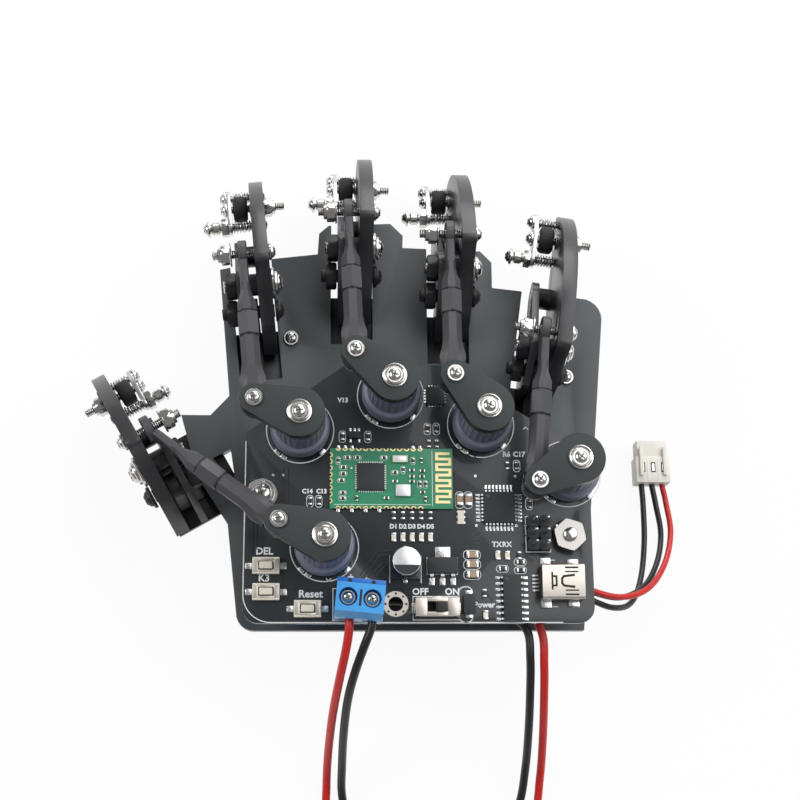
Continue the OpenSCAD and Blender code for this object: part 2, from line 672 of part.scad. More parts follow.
module in_terminal() {
    translate([terminal_at.x, terminal_at.y, pcb_top]) rotate(terminal_turn) children();
}
module screw_terminal() {
    front = -terminal_size.y / 2;
    wire_z = 20 - pcb_top;
    color("#2a7fc9") in_terminal() difference() {
        translate([-terminal_size.x / 2, front, 0]) union() {
            cube([terminal_size.x, terminal_size.y, terminal_size.z - 2.4]);
            translate([0, 1.2, 0]) cube([terminal_size.x, terminal_size.y - 2.4, terminal_size.z]);
        }
        for (s = [-1, 1]) {
            translate([s * terminal_pitch / 2 - wire_hole / 2, front - 1, wire_z - wire_hole / 2])
                cube([wire_hole, wire_hole_deep + 1, wire_hole]);
            post(terminal_size.z - 2, terminal_size.z + 1, 2, [s * terminal_pitch / 2, 0]);
        }
    }
    color("#d4d6d8") in_terminal() for (s = [-1, 1])
        post(terminal_size.z - 2 + seat, terminal_size.z - 0.5, 1.85, [s * terminal_pitch / 2, 0]);
}
module slide_switch() {
    slot = [switch_travel + switch_key.x + side_gap, switch_key.y + side_gap];
    color("#c9ccd0") difference() {
        box_on(switch_at, switch_size);
        on_board(switch_at) translate([-slot.x / 2, -slot.y / 2, 1]) cube([slot.x, slot.y, 5]);
    }
}
module switch_knob() {
    color("#202224") on_board(switch_at)
        translate([switch_travel / 2 - switch_key.x / 2, -switch_key.y / 2, 1.2]) cube(switch_key);
}
module button_bases() {
    color("#c5c8c2") for (p = buttons) {
        difference() {
            box_on(p, button_size);
            on_board(p) translate([-button_cap.x / 2 - 0.15, -button_cap.y / 2 - 0.15, 0.9])
                cube([button_cap.x + 0.3, button_cap.y + 0.3, 2]);
        }
        for (s = [-1, 1]) box_on(p + [s * (button_size.x / 2 + 0.8), 0], [1.6, 1.2, 0.4]);
    }
}
module button_top(p) {
    color("#ece8da") on_board(p) translate([-button_cap.x / 2, -button_cap.y / 2, 0.9 + button_travel + 0.1])
        cube([button_cap.x, button_cap.y, 0.9]);
}
module mode_button() { button_top(buttons[1]); }
module delete_button() { button_top(buttons[0]); }
module reset_button() { button_top(buttons[2]); }
module sensor_bases() {
    color("#3a3f45") for (f = ROWS) on_board(f[0]) difference() {
        cylinder(h = 2.4, r = sensor_d / 2);
        post(0.4, 3, spindle_d / 2 + run_play);
    }
}
module battery() {
    round_r = 1.2;
    color("#2f4f86") translate(battery_at) {
        x1 = battery_size.x - round_r;
        z1 = battery_size.z - round_r;
        translate([0, battery_size.y, 0]) rotate([90, 0, 0]) linear_extrude(battery_size.y)
            polygon(concat(arc([round_r, round_r], round_r, 180, 270, 4),
                arc([x1, round_r], round_r, 270, 360, 4), arc([x1, z1], round_r, 0, 90, 4),
                arc([round_r, z1], round_r, 90, 180, 4)));
    }
}

// Cords: points along the middle of each lead
lead_d = 1.9;
wire_d = 1.4;
RED_LEAD = [[-15.3, -27.4, 20], [-15.2, -30.5, 19.9], [-15.9, -35, 18], [-17.2, -41, 12.5],
    [-18.4, -47.5, 4.5], [-19.2, -55, -6], [-19.5, -62, -12.8], [-19.2, -70, -15],
    [-15.5, -79, -15], [-7.5, -85, -15], [3, -87, -15], [14, -85, -15], [23, -79, -15],
    [28, -70, -15], [29.3, -61, -12.5], [29.2, -53, -6], [28.6, -45, 1.5], [28.1, -37, 6.8],
    [27.6, -30, 8], [24, -24, 8], [16, -21, 8], [5, -19.5, 8], [-8, -19, 8]];
BLACK_LEAD = [[-10.3, -26.9, 20], [-10.5, -30, 19.9], [-12, -34, 18.6], [-13.8, -39, 15],
    [-15.2, -44.5, 9.5], [-15.9, -51, 1.5], [-16.1, -58, -7.5], [-15.9, -65, -13.5],
    [-13.5, -73, -15], [-7, -79.5, -15], [3, -82, -15], [13, -80, -15], [20.5, -74.5, -15],
    [24.5, -67, -14.2], [25.6, -59, -9.8], [25.6, -51, -3], [25.3, -43, 3.3], [25, -35.5, 7.3],
    [24.3, -29.5, 8], [20, -26, 8], [12, -24.3, 8], [2, -23.3, 8], [-8, -23, 8]];
PLUG = [58.6, 12.7, -12.4];
plug_size = [8.3, 10.4, 5.4];
BALANCE_RED = [[-8, -8, 8], [10, -10, 8], [26, -15.5, 7.6], [38, -20, 6.4], [46.5, -21.6, 3.4],
    [54, -19, -1.5], [59.5, -12.5, -7], [62.3, -4.5, -11], [61.9, 3, -12.4], [61.1, 7.5, -12.4]];
BALANCE_BLACK = [[-8, -11, 7], [10, -13, 7], [26, -18, 6.6], [38, -22, 5.4], [45, -23.8, 1.8],
    [50.4, -22, -3.8], [54, -15.8, -8.6], [56, -6.5, -11.8], [56.3, 2.5, -12.4], [56.1, 7.5, -12.4]];
BALANCE_BLACK_2 = [[-8, -8, 5.6], [10, -10, 5.6], [26, -15.4, 5.2], [38, -19.9, 4.2],
    [46.6, -21.4, 0.9], [53.6, -18.3, -4.2], [58.2, -12, -9.4], [60.4, -4.5, -13], [59.5, 2.5, -12.8],
    [58.6, 7.5, -12.4]];

function unit(v) = v / norm(v);
function along(p, i) = unit(p[min(i + 1, len(p) - 1)] - p[max(i - 1, 0)]);
module tube(route, d) {
    sides = 8;
    n = len(route);
    pts = [for (i = [0:n - 1])
        let (t = along(route, i), a = unit(cross(t, [0, 0, 1])), b = cross(a, t))
        for (k = [0:sides - 1])
            route[i] + d / 2 * (cos(360 * k / sides) * a + sin(360 * k / sides) * b)];
    walls = [for (i = [0:n - 2], k = [0:sides - 1], half = [0, 1])
        let (a = sides * i + k, b = sides * i + (k + 1) % sides)
        half == 0 ? [a, b, b + sides] : [a, b + sides, a + sides]];
    polyhedron(pts, concat([[for (k = [sides - 1:-1:0]) k]], walls,
        [[for (k = [0:sides - 1]) sides * (n - 1) + k]]));
}
module main_lead_red() { color("#c8201c") tube(RED_LEAD, lead_d); }
module main_lead_black() { color("#1b1b1d") tube(BLACK_LEAD, lead_d); }
module balance_wire_red() { color("#c8201c") tube(BALANCE_RED, wire_d); }
module balance_wire_black() { color("#1b1b1d") tube(BALANCE_BLACK, wire_d); }
module balance_wire_black_2() { color("#1b1b1d") tube(BALANCE_BLACK_2, wire_d); }
module balance_plug() {
    color("#e9e6dc") translate(PLUG) difference() {
        translate([-plug_size.x / 2, -plug_size.y / 2, -plug_size.z / 2]) union() {
            cube([plug_size.x, plug_size.y, plug_size.z]);
            translate([0.8, 1.4, plug_size.z - cut]) cube([1, plug_size.y - 3, 0.9]);
            translate([plug_size.x - 1.8, 1.4, plug_size.z - cut]) cube([1, plug_size.y - 3, 0.9]);
        }
        for (x = [-2.5, 0, 2.5]) translate([x - 0.7, plug_size.y / 2 - 6, -0.7]) cube([1.4, 7, 1.4]);
    }
}

hand_plate();
knuckle_brackets();
knuckle_bolts();
machine_screws();
standoffs();
battery();
circuit_board();
radio_module();
chips();
small_components();
usb_socket();
screw_terminal();
slide_switch();
switch_knob();
button_bases();
mode_button();
delete_button();
reset_button();
sensor_bases();
main_lead_red();
main_lead_black();
balance_wire_red();
balance_wire_black();
balance_wire_black_2();
balance_plug();
finger_knob(THUMB);  // thumb_knob
finger_arm(THUMB);  // thumb_arm
finger_rod(THUMB);  // thumb_rod
finger_arch_plate(THUMB);  // thumb_arch_plate
finger_side_plate(THUMB);  // thumb_side_plate
finger_hardware(THUMB);  // thumb_hardware
finger_roller(THUMB);  // thumb_roller
finger_knob(INDEX);  // index_knob
finger_arm(INDEX);  // index_arm
finger_rod(INDEX);  // index_rod
finger_arch_plate(INDEX);  // index_arch_plate
finger_side_plate(INDEX);  // index_side_plate
finger_hardware(INDEX);  // index_hardware
finger_roller(INDEX);  // index_roller
finger_knob(MIDDLE);  // middle_knob
finger_arm(MIDDLE);  // middle_arm
finger_rod(MIDDLE);  // middle_rod
finger_arch_plate(MIDDLE);  // middle_arch_plate
finger_side_plate(MIDDLE);  // middle_side_plate
finger_hardware(MIDDLE);  // middle_hardware
finger_roller(MIDDLE);  // middle_roller
finger_knob(RING);  // ring_knob
finger_arm(RING);  // ring_arm
finger_rod(RING);  // ring_rod
finger_arch_plate(RING);  // ring_arch_plate
finger_side_plate(RING);  // ring_side_plate
finger_hardware(RING);  // ring_hardware
finger_roller(RING);  // ring_roller
finger_knob(LITTLE);  // little_knob
finger_arm(LITTLE);  // little_arm
finger_rod(LITTLE);  // little_rod
finger_arch_plate(LITTLE);  // little_arch_plate
finger_side_plate(LITTLE);  // little_side_plate
finger_hardware(LITTLE);  // little_hardware
finger_roller(LITTLE);  // little_roller
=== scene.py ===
"""Looks of a wearable hand exoskeleton: acrylic plates, ball-link rods, sensor arms and its board.

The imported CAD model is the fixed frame. Each class below dresses one sub-assembly in that frame,
in metres, and every finished piece rides on the body that carries it.
"""

import json
import logging
from collections.abc import Callable, Sequence
from dataclasses import dataclass, field
from enum import Enum
from math import acos, cos, pi, radians, sin

import bmesh
import bpy
from mathutils import Matrix, Vector


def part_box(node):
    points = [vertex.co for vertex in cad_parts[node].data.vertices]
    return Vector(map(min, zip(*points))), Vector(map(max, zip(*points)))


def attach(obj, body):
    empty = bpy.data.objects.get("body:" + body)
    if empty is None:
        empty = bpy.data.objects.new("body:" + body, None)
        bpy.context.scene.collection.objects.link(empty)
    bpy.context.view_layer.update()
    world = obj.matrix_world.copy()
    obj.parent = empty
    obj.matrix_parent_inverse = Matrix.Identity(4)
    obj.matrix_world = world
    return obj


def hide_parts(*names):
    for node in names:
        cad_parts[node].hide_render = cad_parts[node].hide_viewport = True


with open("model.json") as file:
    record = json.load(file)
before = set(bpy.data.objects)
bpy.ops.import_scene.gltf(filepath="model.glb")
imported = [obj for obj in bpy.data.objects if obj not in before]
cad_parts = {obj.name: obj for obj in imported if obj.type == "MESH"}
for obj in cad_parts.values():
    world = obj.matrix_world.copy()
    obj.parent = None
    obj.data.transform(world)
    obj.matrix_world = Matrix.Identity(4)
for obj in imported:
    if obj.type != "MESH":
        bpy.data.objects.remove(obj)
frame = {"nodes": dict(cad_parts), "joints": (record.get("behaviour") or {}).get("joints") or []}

log = logging.getLogger("exoskeleton")
MM = 0.001
Point = tuple[float, float]
Triple = tuple[float, float, float]
Socket = bpy.types.NodeSocket
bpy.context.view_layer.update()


# ---- places taken from the frame


def joint_place(name: str) -> Vector:
    """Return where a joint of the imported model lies.

    Args:
        name: the joint's name in the record.

    Returns:
        The joint's position in the row frame, in metres.
    """
    for joint in frame["joints"]:
        if joint["name"] == name:
            return Vector(joint["pos_m"])
    raise KeyError(name)


def middle(node: str) -> Vector:
    """Return the middle of a CAD node's box."""
    low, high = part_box(node)
    return (low + high) / 2


def move(x: float, y: float, z: float) -> Matrix:
    """Return the matrix that moves by x, y and z."""
    return Matrix.Translation((x, y, z))


def spun(turn: float) -> Matrix:
    """Return the matrix that turns about Z by degrees."""
    return Matrix.Rotation(radians(turn), 4, "Z")


def polar(radius: float, turn: float, x: float = 0.0, y: float = 0.0) -> Point:
    """Return the point at a radius and a turn in degrees from (x, y)."""
    return x + radius * cos(radians(turn)), y + radius * sin(radians(turn))


def rounded(half_x: float, half_y: float, r: float, step: float) -> list[Point]:
    """Return points round a rectangle whose corners, of radius r, have their centres at these halves."""
    corners = ((half_x, half_y, 0), (-half_x, half_y, 90), (-half_x, -half_y, 180), (half_x, -half_y, 270))
    return [polar(r, a + step * k, x, y) for x, y, a in corners for k in range(round(90 / step) + 1)]


def linked(name: str, data: bpy.types.ID) -> bpy.types.Object:
    """Return a new object of this data, linked to the scene."""
    made = bpy.data.objects.new(name, data)
    bpy.context.scene.collection.objects.link(made)
    return made


def carried(name: str, mesh: bpy.types.Mesh, body: str, nodes: Sequence[str], angle: float) -> bpy.types.Object:
    """Turn a mesh into an object that rides on a body and may replace CAD nodes.

    Args:
        name: the object's name.
        mesh: its mesh, with its finishes in place.
        body: the body that carries it.
        nodes: the CAD nodes that it stands for.
        angle: edges sharper than this stay sharp, in degrees.

    Returns:
        The finished object.
    """
    mesh.set_sharp_from_angle(angle=radians(angle))
    made = linked(name, mesh)
    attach(made, body)
    if nodes:
        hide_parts(*nodes)
    log.info("%s: %d faces, on %s", name, len(mesh.polygons), body)
    return made


class Digit(Enum):
    """The five fingers, with the turn and bend of each at rest and the angle of its arm."""

    THUMB = ("thumb", 30.0, 31.0, 161.0, -1)
    INDEX = ("index", 6.0, 24.0, 163.0, 1)
    MIDDLE = ("middle", 0.0, 32.0, 145.0, 1)
    RING = ("ring", 0.0, 29.0, 135.0, 1)
    LITTLE = ("little", -8.0, 6.0, 209.0, 1)

    def __init__(self, label: str, turn: float, bend: float, arm_turn: float, side: int) -> None:
        """Keep the named values of one finger."""
        self.label = label
        self.turn = radians(turn)
        self.bend = radians(bend)
        self.arm_turn = radians(arm_turn)
        self.side = side

    @property
    def knuckle(self) -> Vector:
        """Middle of the finger's knuckle bolt."""
        return joint_place(f"{self.label}_knuckle")

    @property
    def hub(self) -> Vector:
        """Axis of the finger's rotary sensor."""
        return joint_place(f"{self.label}_arm")

    def place(self) -> Matrix:
        """Return the matrix from the finger's own frame (across, forward, up) to the row frame."""
        spin = Matrix.Rotation(self.turn, 4, "Z") @ Matrix.Rotation(-self.bend, 4, "X")
        flip = Matrix.Diagonal((self.side, 1, 1, 1))
        return Matrix.Translation(self.knuckle) @ spin @ flip

    def arm_place(self, z: float = 0.0) -> Matrix:
        """Return the matrix from the arm's own frame (along its length in X) at height z."""
        hub = self.hub
        return move(hub.x, hub.y, z) @ Matrix.Rotation(self.arm_turn, 4, "Z")


# ---- shader maths and finishes


@dataclass(frozen=True)
class Num:
    """A number socket of a shader, written in ordinary arithmetic."""

    shade: "Shade"
    link: Socket

    def _op(self, operation: str, *values: "Num | float") -> "Num":
        """Add one Math node for this operation on the given values."""
        return self.shade.math(operation, *values)

    def __add__(self, other: "Num | float") -> "Num":
        """Return the sum."""
        return self._op("ADD", self, other)

    def __mul__(self, other: "Num | float") -> "Num":
        """Return the product."""
        return self._op("MULTIPLY", self, other)

    def __gt__(self, other: "Num | float") -> "Num":
        """Return 1 where this is greater, and 0 elsewhere."""
        return self._op("GREATER_THAN", self, other)


class Shade:
    """One procedural material under construction."""

    def __init__(self, name: str) -> None:
        """Start a material with a Principled shader.

        Args:
            name: the material's name.
        """
        self.material = bpy.data.materials.new(name)
        self.material.use_nodes = True
        self.tree = self.material.node_tree
        self.tree.nodes.clear()
        self.surface = self.node("ShaderNodeBsdfPrincipled")
        self.output = self.node("ShaderNodeOutputMaterial")
        self.tree.links.new(self.surface.outputs[0], self.output.inputs["Surface"])

    def node(self, kind: str, settings: dict | None = None, **sockets: object) -> bpy.types.Node:
        """Add a node, set it up, then feed its sockets.

        Args:
            kind: the node's type name.
            settings: properties of the node, set before its sockets.
            **sockets: values or links by socket name, with _ for a space.

        Returns:
            The new node.
        """
        made = self.tree.nodes.new(kind)
        for key, value in (settings or {}).items():
            setattr(made, key, value)
        for key, value in sockets.items():
            self.feed(made.inputs[key.replace("_", " ")], value)
        return made

    def feed(self, socket: Socket, value: object) -> None:
        """Link or set one socket."""
        if isinstance(value, Num):
            self.tree.links.new(value.link, socket)
        elif isinstance(value, Socket):
            self.tree.links.new(value, socket)
        elif isinstance(value, tuple) and len(value) == 3 and socket.type == "RGBA":
            socket.default_value = (*value, 1.0)
        else:
            socket.default_value = value

    def math(self, operation: str, *values: Num | float) -> Num:
        """Add a Math node and return its result."""
        made = self.node("ShaderNodeMath", {"operation": operation})
        for socket, value in zip(made.inputs, values):
            self.feed(socket, value)
        return Num(self, made.outputs[0])

    def place(self, scale: Sequence[float] = (1, 1, 1)) -> Socket:
        """Return the object coordinates, scaled along each axis."""
        coords = self.node("ShaderNodeTexCoord").outputs["Object"]
        return self.node("ShaderNodeMapping", Vector=coords, Scale=tuple(scale)).outputs[0]

    def noise(self, scale: float, detail: float = 3.0, stretch: Sequence[float] = (1, 1, 1)) -> Num:
        """Return a noise value from 0 to 1 over the surface."""
        made = self.node("ShaderNodeTexNoise", Vector=self.place(stretch), Scale=scale, Detail=detail)
        return Num(self, made.outputs["Fac"])

    def between(self, factor: Num | float, first: Num | float, last: Num | float) -> Num:
        """Return a value that runs from first to last as factor runs from 0 to 1."""
        made = self.node("ShaderNodeMapRange")
        for key, value in (("Value", factor), ("To Min", first), ("To Max", last)):
            self.feed(made.inputs[key], value)
        return Num(self, made.outputs[0])

    def mix(self, factor: Num, first: object, last: object) -> Socket:
        """Return a colour mixed from two by a factor."""
        made = self.node("ShaderNodeMix", {"data_type": "RGBA"})
        self.feed(made.inputs[0], factor)
        self.feed(made.inputs[6], first)
        self.feed(made.inputs[7], last)
        return made.outputs[2]

    def bump(self, height: Num, strength: float, distance: float) -> Socket:
        """Return a normal bumped by a height."""
        made = self.node("ShaderNodeBump", Height=height, Strength=strength, Distance=distance)
        return made.outputs[0]

    def dress(self, **sockets: object) -> bpy.types.Material:
        """Feed the Principled shader's sockets and return the material."""
        for key, value in sockets.items():
            self.feed(self.surface.inputs[key.replace("_", " ")], value)
        return self.material


@dataclass(frozen=True)
class Finish:
    """A moulded, cut or plated surface: colour, gloss, grain and fine wear."""

    name: str
    colour: Triple
    roughness: float = 0.5
    metallic: float = 0.0
    coat: float = 0.0
    grain: float = 900.0
    relief: float = 0.0
    mottle: float = 0.12
    stretch: Triple = (1.0, 1.0, 1.0)

    def material(self) -> bpy.types.Material:
        """Build the finish once and return its material."""
        known = bpy.data.materials.get(self.name)
        if known:
            return known
        shade = Shade(self.name)
        fine = shade.noise(self.grain, 4.0, self.stretch)
        broad = shade.noise(self.grain / 14, 2.0)
        dark = tuple(c * (1 - self.mottle) for c in self.colour)
        light = tuple(min(1.0, c * (1 + self.mottle) + 0.002) for c in self.colour)
        sockets: dict[str, object] = {
            "Base_Color": shade.mix(broad * 0.7 + fine * 0.3, dark, light),
            "Roughness": shade.between(fine, self.roughness * 0.85, min(1.0, self.roughness * 1.15)),
            "Metallic": self.metallic,
            "Coat_Weight": self.coat,
        }
        if self.relief > 0:
            sockets["Normal"] = shade.bump(fine, self.relief, 0.0002)
        return shade.dress(**sockets)


ACRYLIC_FACE = Finish("acrylic_face", (0.068, 0.08, 0.087), 0.45, grain=260, mottle=0.08)
ACRYLIC_BLACK = Finish("acrylic_black", (0.007, 0.008, 0.010), 0.3, grain=300, mottle=0.1)
ACRYLIC_EDGE = Finish("acrylic_cut_edge", (0.034, 0.034, 0.038), 0.3, grain=700, stretch=(1, 1, 0.08))
ARM_FACE = Finish("arm_matte", (0.02, 0.026, 0.027), 0.55, grain=500, mottle=0.06)
NYLON_BLACK = Finish("nylon_black", (0.014, 0.014, 0.016), 0.45, relief=0.1)
ROD_NYLON = Finish("rod_nylon", (0.058, 0.055, 0.064), 0.45, grain=1500, relief=0.1, mottle=0.06)
KNOB_PLASTIC = Finish("knob_plastic", (0.17, 0.18, 0.245), 0.38, grain=700, mottle=0.06)
STEEL = Finish("zinc_steel", (0.66, 0.65, 0.63), 0.2, 1.0, grain=2600, relief=0.05, mottle=0.07)
# Darker steel that paints the shade inside screw recesses.
STEEL_RECESS_SHADE = Finish("steel_recess_shade", (0.16, 0.15, 0.14), 0.4, 1.0, grain=2600)
SPRING_STEEL = Finish("spring_steel", (0.6, 0.6, 0.6), 0.28, 1.0, grain=3000)
BRASS = Finish("brass", (0.72, 0.56, 0.26), 0.3, 1.0, grain=2000)
TYRE = Finish("tyre_rubber", (0.014, 0.014, 0.015), 0.7, relief=0.35, grain=2400)
TIN = Finish("tin_plate", (0.68, 0.69, 0.7), 0.3, 1.0, grain=2200, relief=0.08)
GOLD = Finish("gold_pad", (0.83, 0.68, 0.36), 0.32, 1.0, grain=2600)
SOLDER = Finish("solder", (0.78, 0.78, 0.78), 0.25, 1.0, grain=3200, relief=0.2)
MASK_BLACK = Finish("solder_mask_black", (0.014, 0.02, 0.025), 0.36, coat=0.25, grain=350)
MASK_TRACE = Finish("trace_gap", (0.006, 0.008, 0.009), 0.3, coat=0.3, grain=350)
MASK_GREEN = Finish("solder_mask_green", (0.016, 0.25, 0.12), 0.32, coat=0.3, grain=700)
MASK_GREEN_TRACE = Finish("green_trace", (0.03, 0.32, 0.15), 0.3, coat=0.3, grain=700)
SILK = Finish("white_print", (0.82, 0.83, 0.84), 0.6, grain=2500)
CHIP_RESIN = Finish("chip_resin", (0.02, 0.022, 0.026), 0.55, grain=2600, relief=0.2)
RESISTOR_BODY = Finish("resistor_body", (0.028, 0.028, 0.03), 0.4, grain=2600)
CAPACITOR_BODY = Finish("capacitor_body", (0.42, 0.3, 0.18), 0.5, grain=2600)
SHELL = Finish("tinned_shell", (0.66, 0.61, 0.55), 0.38, 1.0, grain=1800, relief=0.06)
# Darker copy of the terminal's blue plastic, painting shade in its wells, on its rear step and on its sides.
TERMINAL_BLUE_SHADE = Finish("terminal_blue_shade", (0.012, 0.15, 0.5), 0.35, grain=900)
# Near black that paints the shade inside slots, holes, windows and recesses; it is also the real black plastic of the
# socket's tongue and rear insulator.
SHADE_AND_BLACK_PLASTIC = Finish("shade_and_black_plastic", (0.008, 0.008, 0.009), 0.6)
CREAM = Finish("cream_plastic", (0.83, 0.79, 0.66), 0.45, grain=1800)
WHITE_NYLON = Finish("white_nylon", (0.84, 0.81, 0.74), 0.45, grain=1500)
TERMINAL_BLUE = Finish("terminal_blue", (0.05, 0.33, 0.74), 0.34, grain=900, mottle=0.06)
NUT_STEEL = Finish("nut_steel", (0.5, 0.48, 0.46), 0.34, 1.0, grain=2400, relief=0.05)
CAN_SIDE = Finish("can_side", (0.16, 0.155, 0.15), 0.28, 1.0, grain=1500)
CAN_SILVER = Finish("can_silver", (0.8, 0.81, 0.82), 0.35, 0.6, grain=1500)
BATTERY_FILM = Finish("battery_film", (0.03, 0.08, 0.24), 0.25, coat=0.3, grain=400)
LEAD_RED = Finish("lead_red", (0.6, 0.018, 0.014), 0.35, grain=1500)
LEAD_BLACK = Finish("lead_black", (0.014, 0.014, 0.016), 0.35, grain=1500)


# ---- solids in code


class Solid:
    """One piece under construction: closed forms, each with its own finish."""

    def __init__(self, name: str) -> None:
        """Start an empty piece.

        Args:
            name: the name of the finished object.
        """
        self.name = name
        self.shape = bmesh.new()
        self.finishes: list[Finish] = []

    def _index(self, finish: Finish) -> int:
        """Return the slot of a finish on this piece, adding it where it is new."""
        if finish not in self.finishes:
            self.finishes.append(finish)
        return self.finishes.index(finish)

    def _join(
        self, form: bmesh.types.BMesh, finish: Finish, place: Matrix, smooth: bool,
        edge: Finish | None = None,
    ) -> None:
        """Move a form to its place, give it its finish and add it to the piece."""
        bmesh.ops.recalc_face_normals(form, faces=form.faces)
        for face in form.faces:
            side = edge is not None and abs(face.normal.z) < 0.6
            face.material_index = self._index(edge if side else finish)
            face.smooth = smooth
        form.transform(place)
        bmesh.ops.recalc_face_normals(form, faces=form.faces)
        scratch = bpy.data.meshes.new("scratch")
        form.to_mesh(scratch)
        form.free()
        self.shape.from_mesh(scratch)
        bpy.data.meshes.remove(scratch)

    def grown(self, mesh: bpy.types.Mesh, finish: Finish, place: Matrix = Matrix()) -> None:
        """Add a mesh that a node tree has made.

        Args:
            mesh: the evaluated mesh, which is used up.
            finish: the finish of all its faces.
            place: matrix to the row frame.
        """
        index = self._index(finish)
        form = bmesh.new()
        form.from_mesh(mesh)
        for face in form.faces:
            face.material_index = index
        form.transform(place)
        if place.determinant() < 0:
            bmesh.ops.reverse_faces(form, faces=form.faces)
        form.to_mesh(mesh)
        form.free()
        self.shape.from_mesh(mesh)
        bpy.data.meshes.remove(mesh)

    def lathe(
        self, profile: Sequence[Point], finish: Finish, place: Matrix = Matrix(), steps: int = 32,
        smooth: bool = True,
    ) -> None:
        """Turn a closed profile about Z.

        Args:
            profile: points (radius, height), going round the section once.
            finish: the form's finish.
            place: matrix to the row frame.
            steps: faces round the axis.
            smooth: whether the form is shaded smooth.
        """
        form = bmesh.new()
        rings = []
        for r, z in profile:
            if r < 1e-9:
                rings.append([form.verts.new((0, 0, z))])
                continue
            rings.append([
                form.verts.new((r * cos(a), r * sin(a), z))
                for a in (2 * pi * i / steps for i in range(steps))
            ])
        closed = profile[0][0] > 1e-9 and profile[-1][0] > 1e-9
        pairs = list(zip(rings, rings[1:])) + ([(rings[-1], rings[0])] if closed else [])
        for low, high in pairs:
            for i in range(steps):
                j = (i + 1) % steps
                corners = [low[i % len(low)], low[j % len(low)], high[j % len(high)], high[i % len(high)]]
                unique = list(dict.fromkeys(corners))
                if len(unique) > 2:
                    form.faces.new(unique)
        self._join(form, finish, place, smooth)

    def prism(
        self, outline: Sequence[Point], low: float, high: float, finish: Finish,
        place: Matrix = Matrix(), bevel: float = 0.0, smooth: bool = False,
        edge: Finish | None = None,
    ) -> None:
        """Extrude an outline along Z, with its sharp edges broken.

        Args:
            outline: points (x, y) round the outline.
            low: height of the lower face.
            high: height of the upper face.
            finish: the form's finish.
            place: matrix to the row frame.
            bevel: width of the broken edges.
            smooth: whether the form is shaded smooth.
            edge: the finish of the walls, where it differs.
        """
        form = bmesh.new()
        base = form.faces.new([form.verts.new((x, y, low)) for x, y in outline])
        grown = bmesh.ops.extrude_face_region(form, geom=[base])
        top = [v for v in grown["geom"] if isinstance(v, bmesh.types.BMVert)]
        bmesh.ops.translate(form, verts=top, vec=(0, 0, high - low))
        bmesh.ops.recalc_face_normals(form, faces=form.faces)
        if bevel > 0:
            sharp = [e for e in form.edges if e.calc_face_angle(0) > 0.6]
            bmesh.ops.bevel(form, geom=sharp, offset=bevel, segments=2, affect="EDGES", profile=0.6)
        self._join(form, finish, place, smooth, edge)

    def block(
        self, size: Sequence[float], centre: Sequence[float], finish: Finish,
        place: Matrix = Matrix(), bevel: float = 0.0,
    ) -> None:
        """Add a block of a size round a centre, with its edges broken."""
        x, y, z = (s / 2 for s in size)
        shift = place @ Matrix.Translation(Vector(centre))
        self.prism([(-x, -y), (x, -y), (x, y), (-x, y)], -z, z, finish, shift, bevel)

    def loft(
        self, rings: Sequence[Sequence[Vector]], finish: Finish, place: Matrix = Matrix(),
        smooth: bool = True, closed: bool = False,
    ) -> None:
        """Join rings of equal length into one closed skin.

        Args:
            rings: the sections in order.
            finish: the form's finish.
            place: matrix to the row frame.
            smooth: whether the form is shaded smooth.
            closed: whether the last ring joins the first, as round a loop.
        """
        form = bmesh.new()
        made = [[form.verts.new(p) for p in ring] for ring in rings]
        count = len(made[0])
        for low, high in list(zip(made, made[1:])) + ([(made[-1], made[0])] if closed else []):
            for i in range(count):
                j = (i + 1) % count
                form.faces.new((low[i], low[j], high[j], high[i]))
        if not closed:
            form.faces.new(list(reversed(made[0])))
            form.faces.new(made[-1])
        self._join(form, finish, place, smooth)

    def tube(self, path: Sequence[Vector], radius: float, finish: Finish, sides: int = 8) -> None:
        """Sweep a round section along a path.

        Args:
            path: points along the middle.
            radius: radius of the section.
            finish: the form's finish.
            sides: faces round the section.
        """
        rings = []
        side = Vector((0, 0, 1))
        for i, point in enumerate(path):
            ahead = (path[min(i + 1, len(path) - 1)] - path[max(i - 1, 0)]).normalized()
            if abs(ahead.dot(side)) > 0.95:
                side = Vector((1, 0, 0))
            across = ahead.cross(side).normalized()
            up = across.cross(ahead)
            turns = (2 * pi * k / sides for k in range(sides))
            rings.append([point + radius * (cos(a) * across + sin(a) * up) for a in turns])
        self.loft(rings, finish)

    def finish(self, body: str, *nodes: str, smooth_angle: float = 35.0) -> bpy.types.Object:
        """Turn the piece into an object that rides on a body and may replace CAD nodes.

        Args:
            body: the body that carries it.
            *nodes: the CAD nodes that it stands for.
            smooth_angle: edges sharper than this stay sharp, in degrees.

        Returns:
            The finished object.
        """
        mesh = bpy.data.meshes.new(self.name)
        self.shape.to_mesh(mesh)
        self.shape.free()
        for finish in self.finishes:
            mesh.materials.append(finish.material())
        return carried(self.name, mesh, body, nodes, smooth_angle)


def circle(radius: float, count: int = 24, centre: Point = (0.0, 0.0), start: float = 0.0) -> list[Point]:
    """Return points round a circle, counterclockwise."""
    turns = (start + 2 * pi * i / count for i in range(count))
    return [(centre[0] + radius * cos(a), centre[1] + radius * sin(a)) for a in turns]


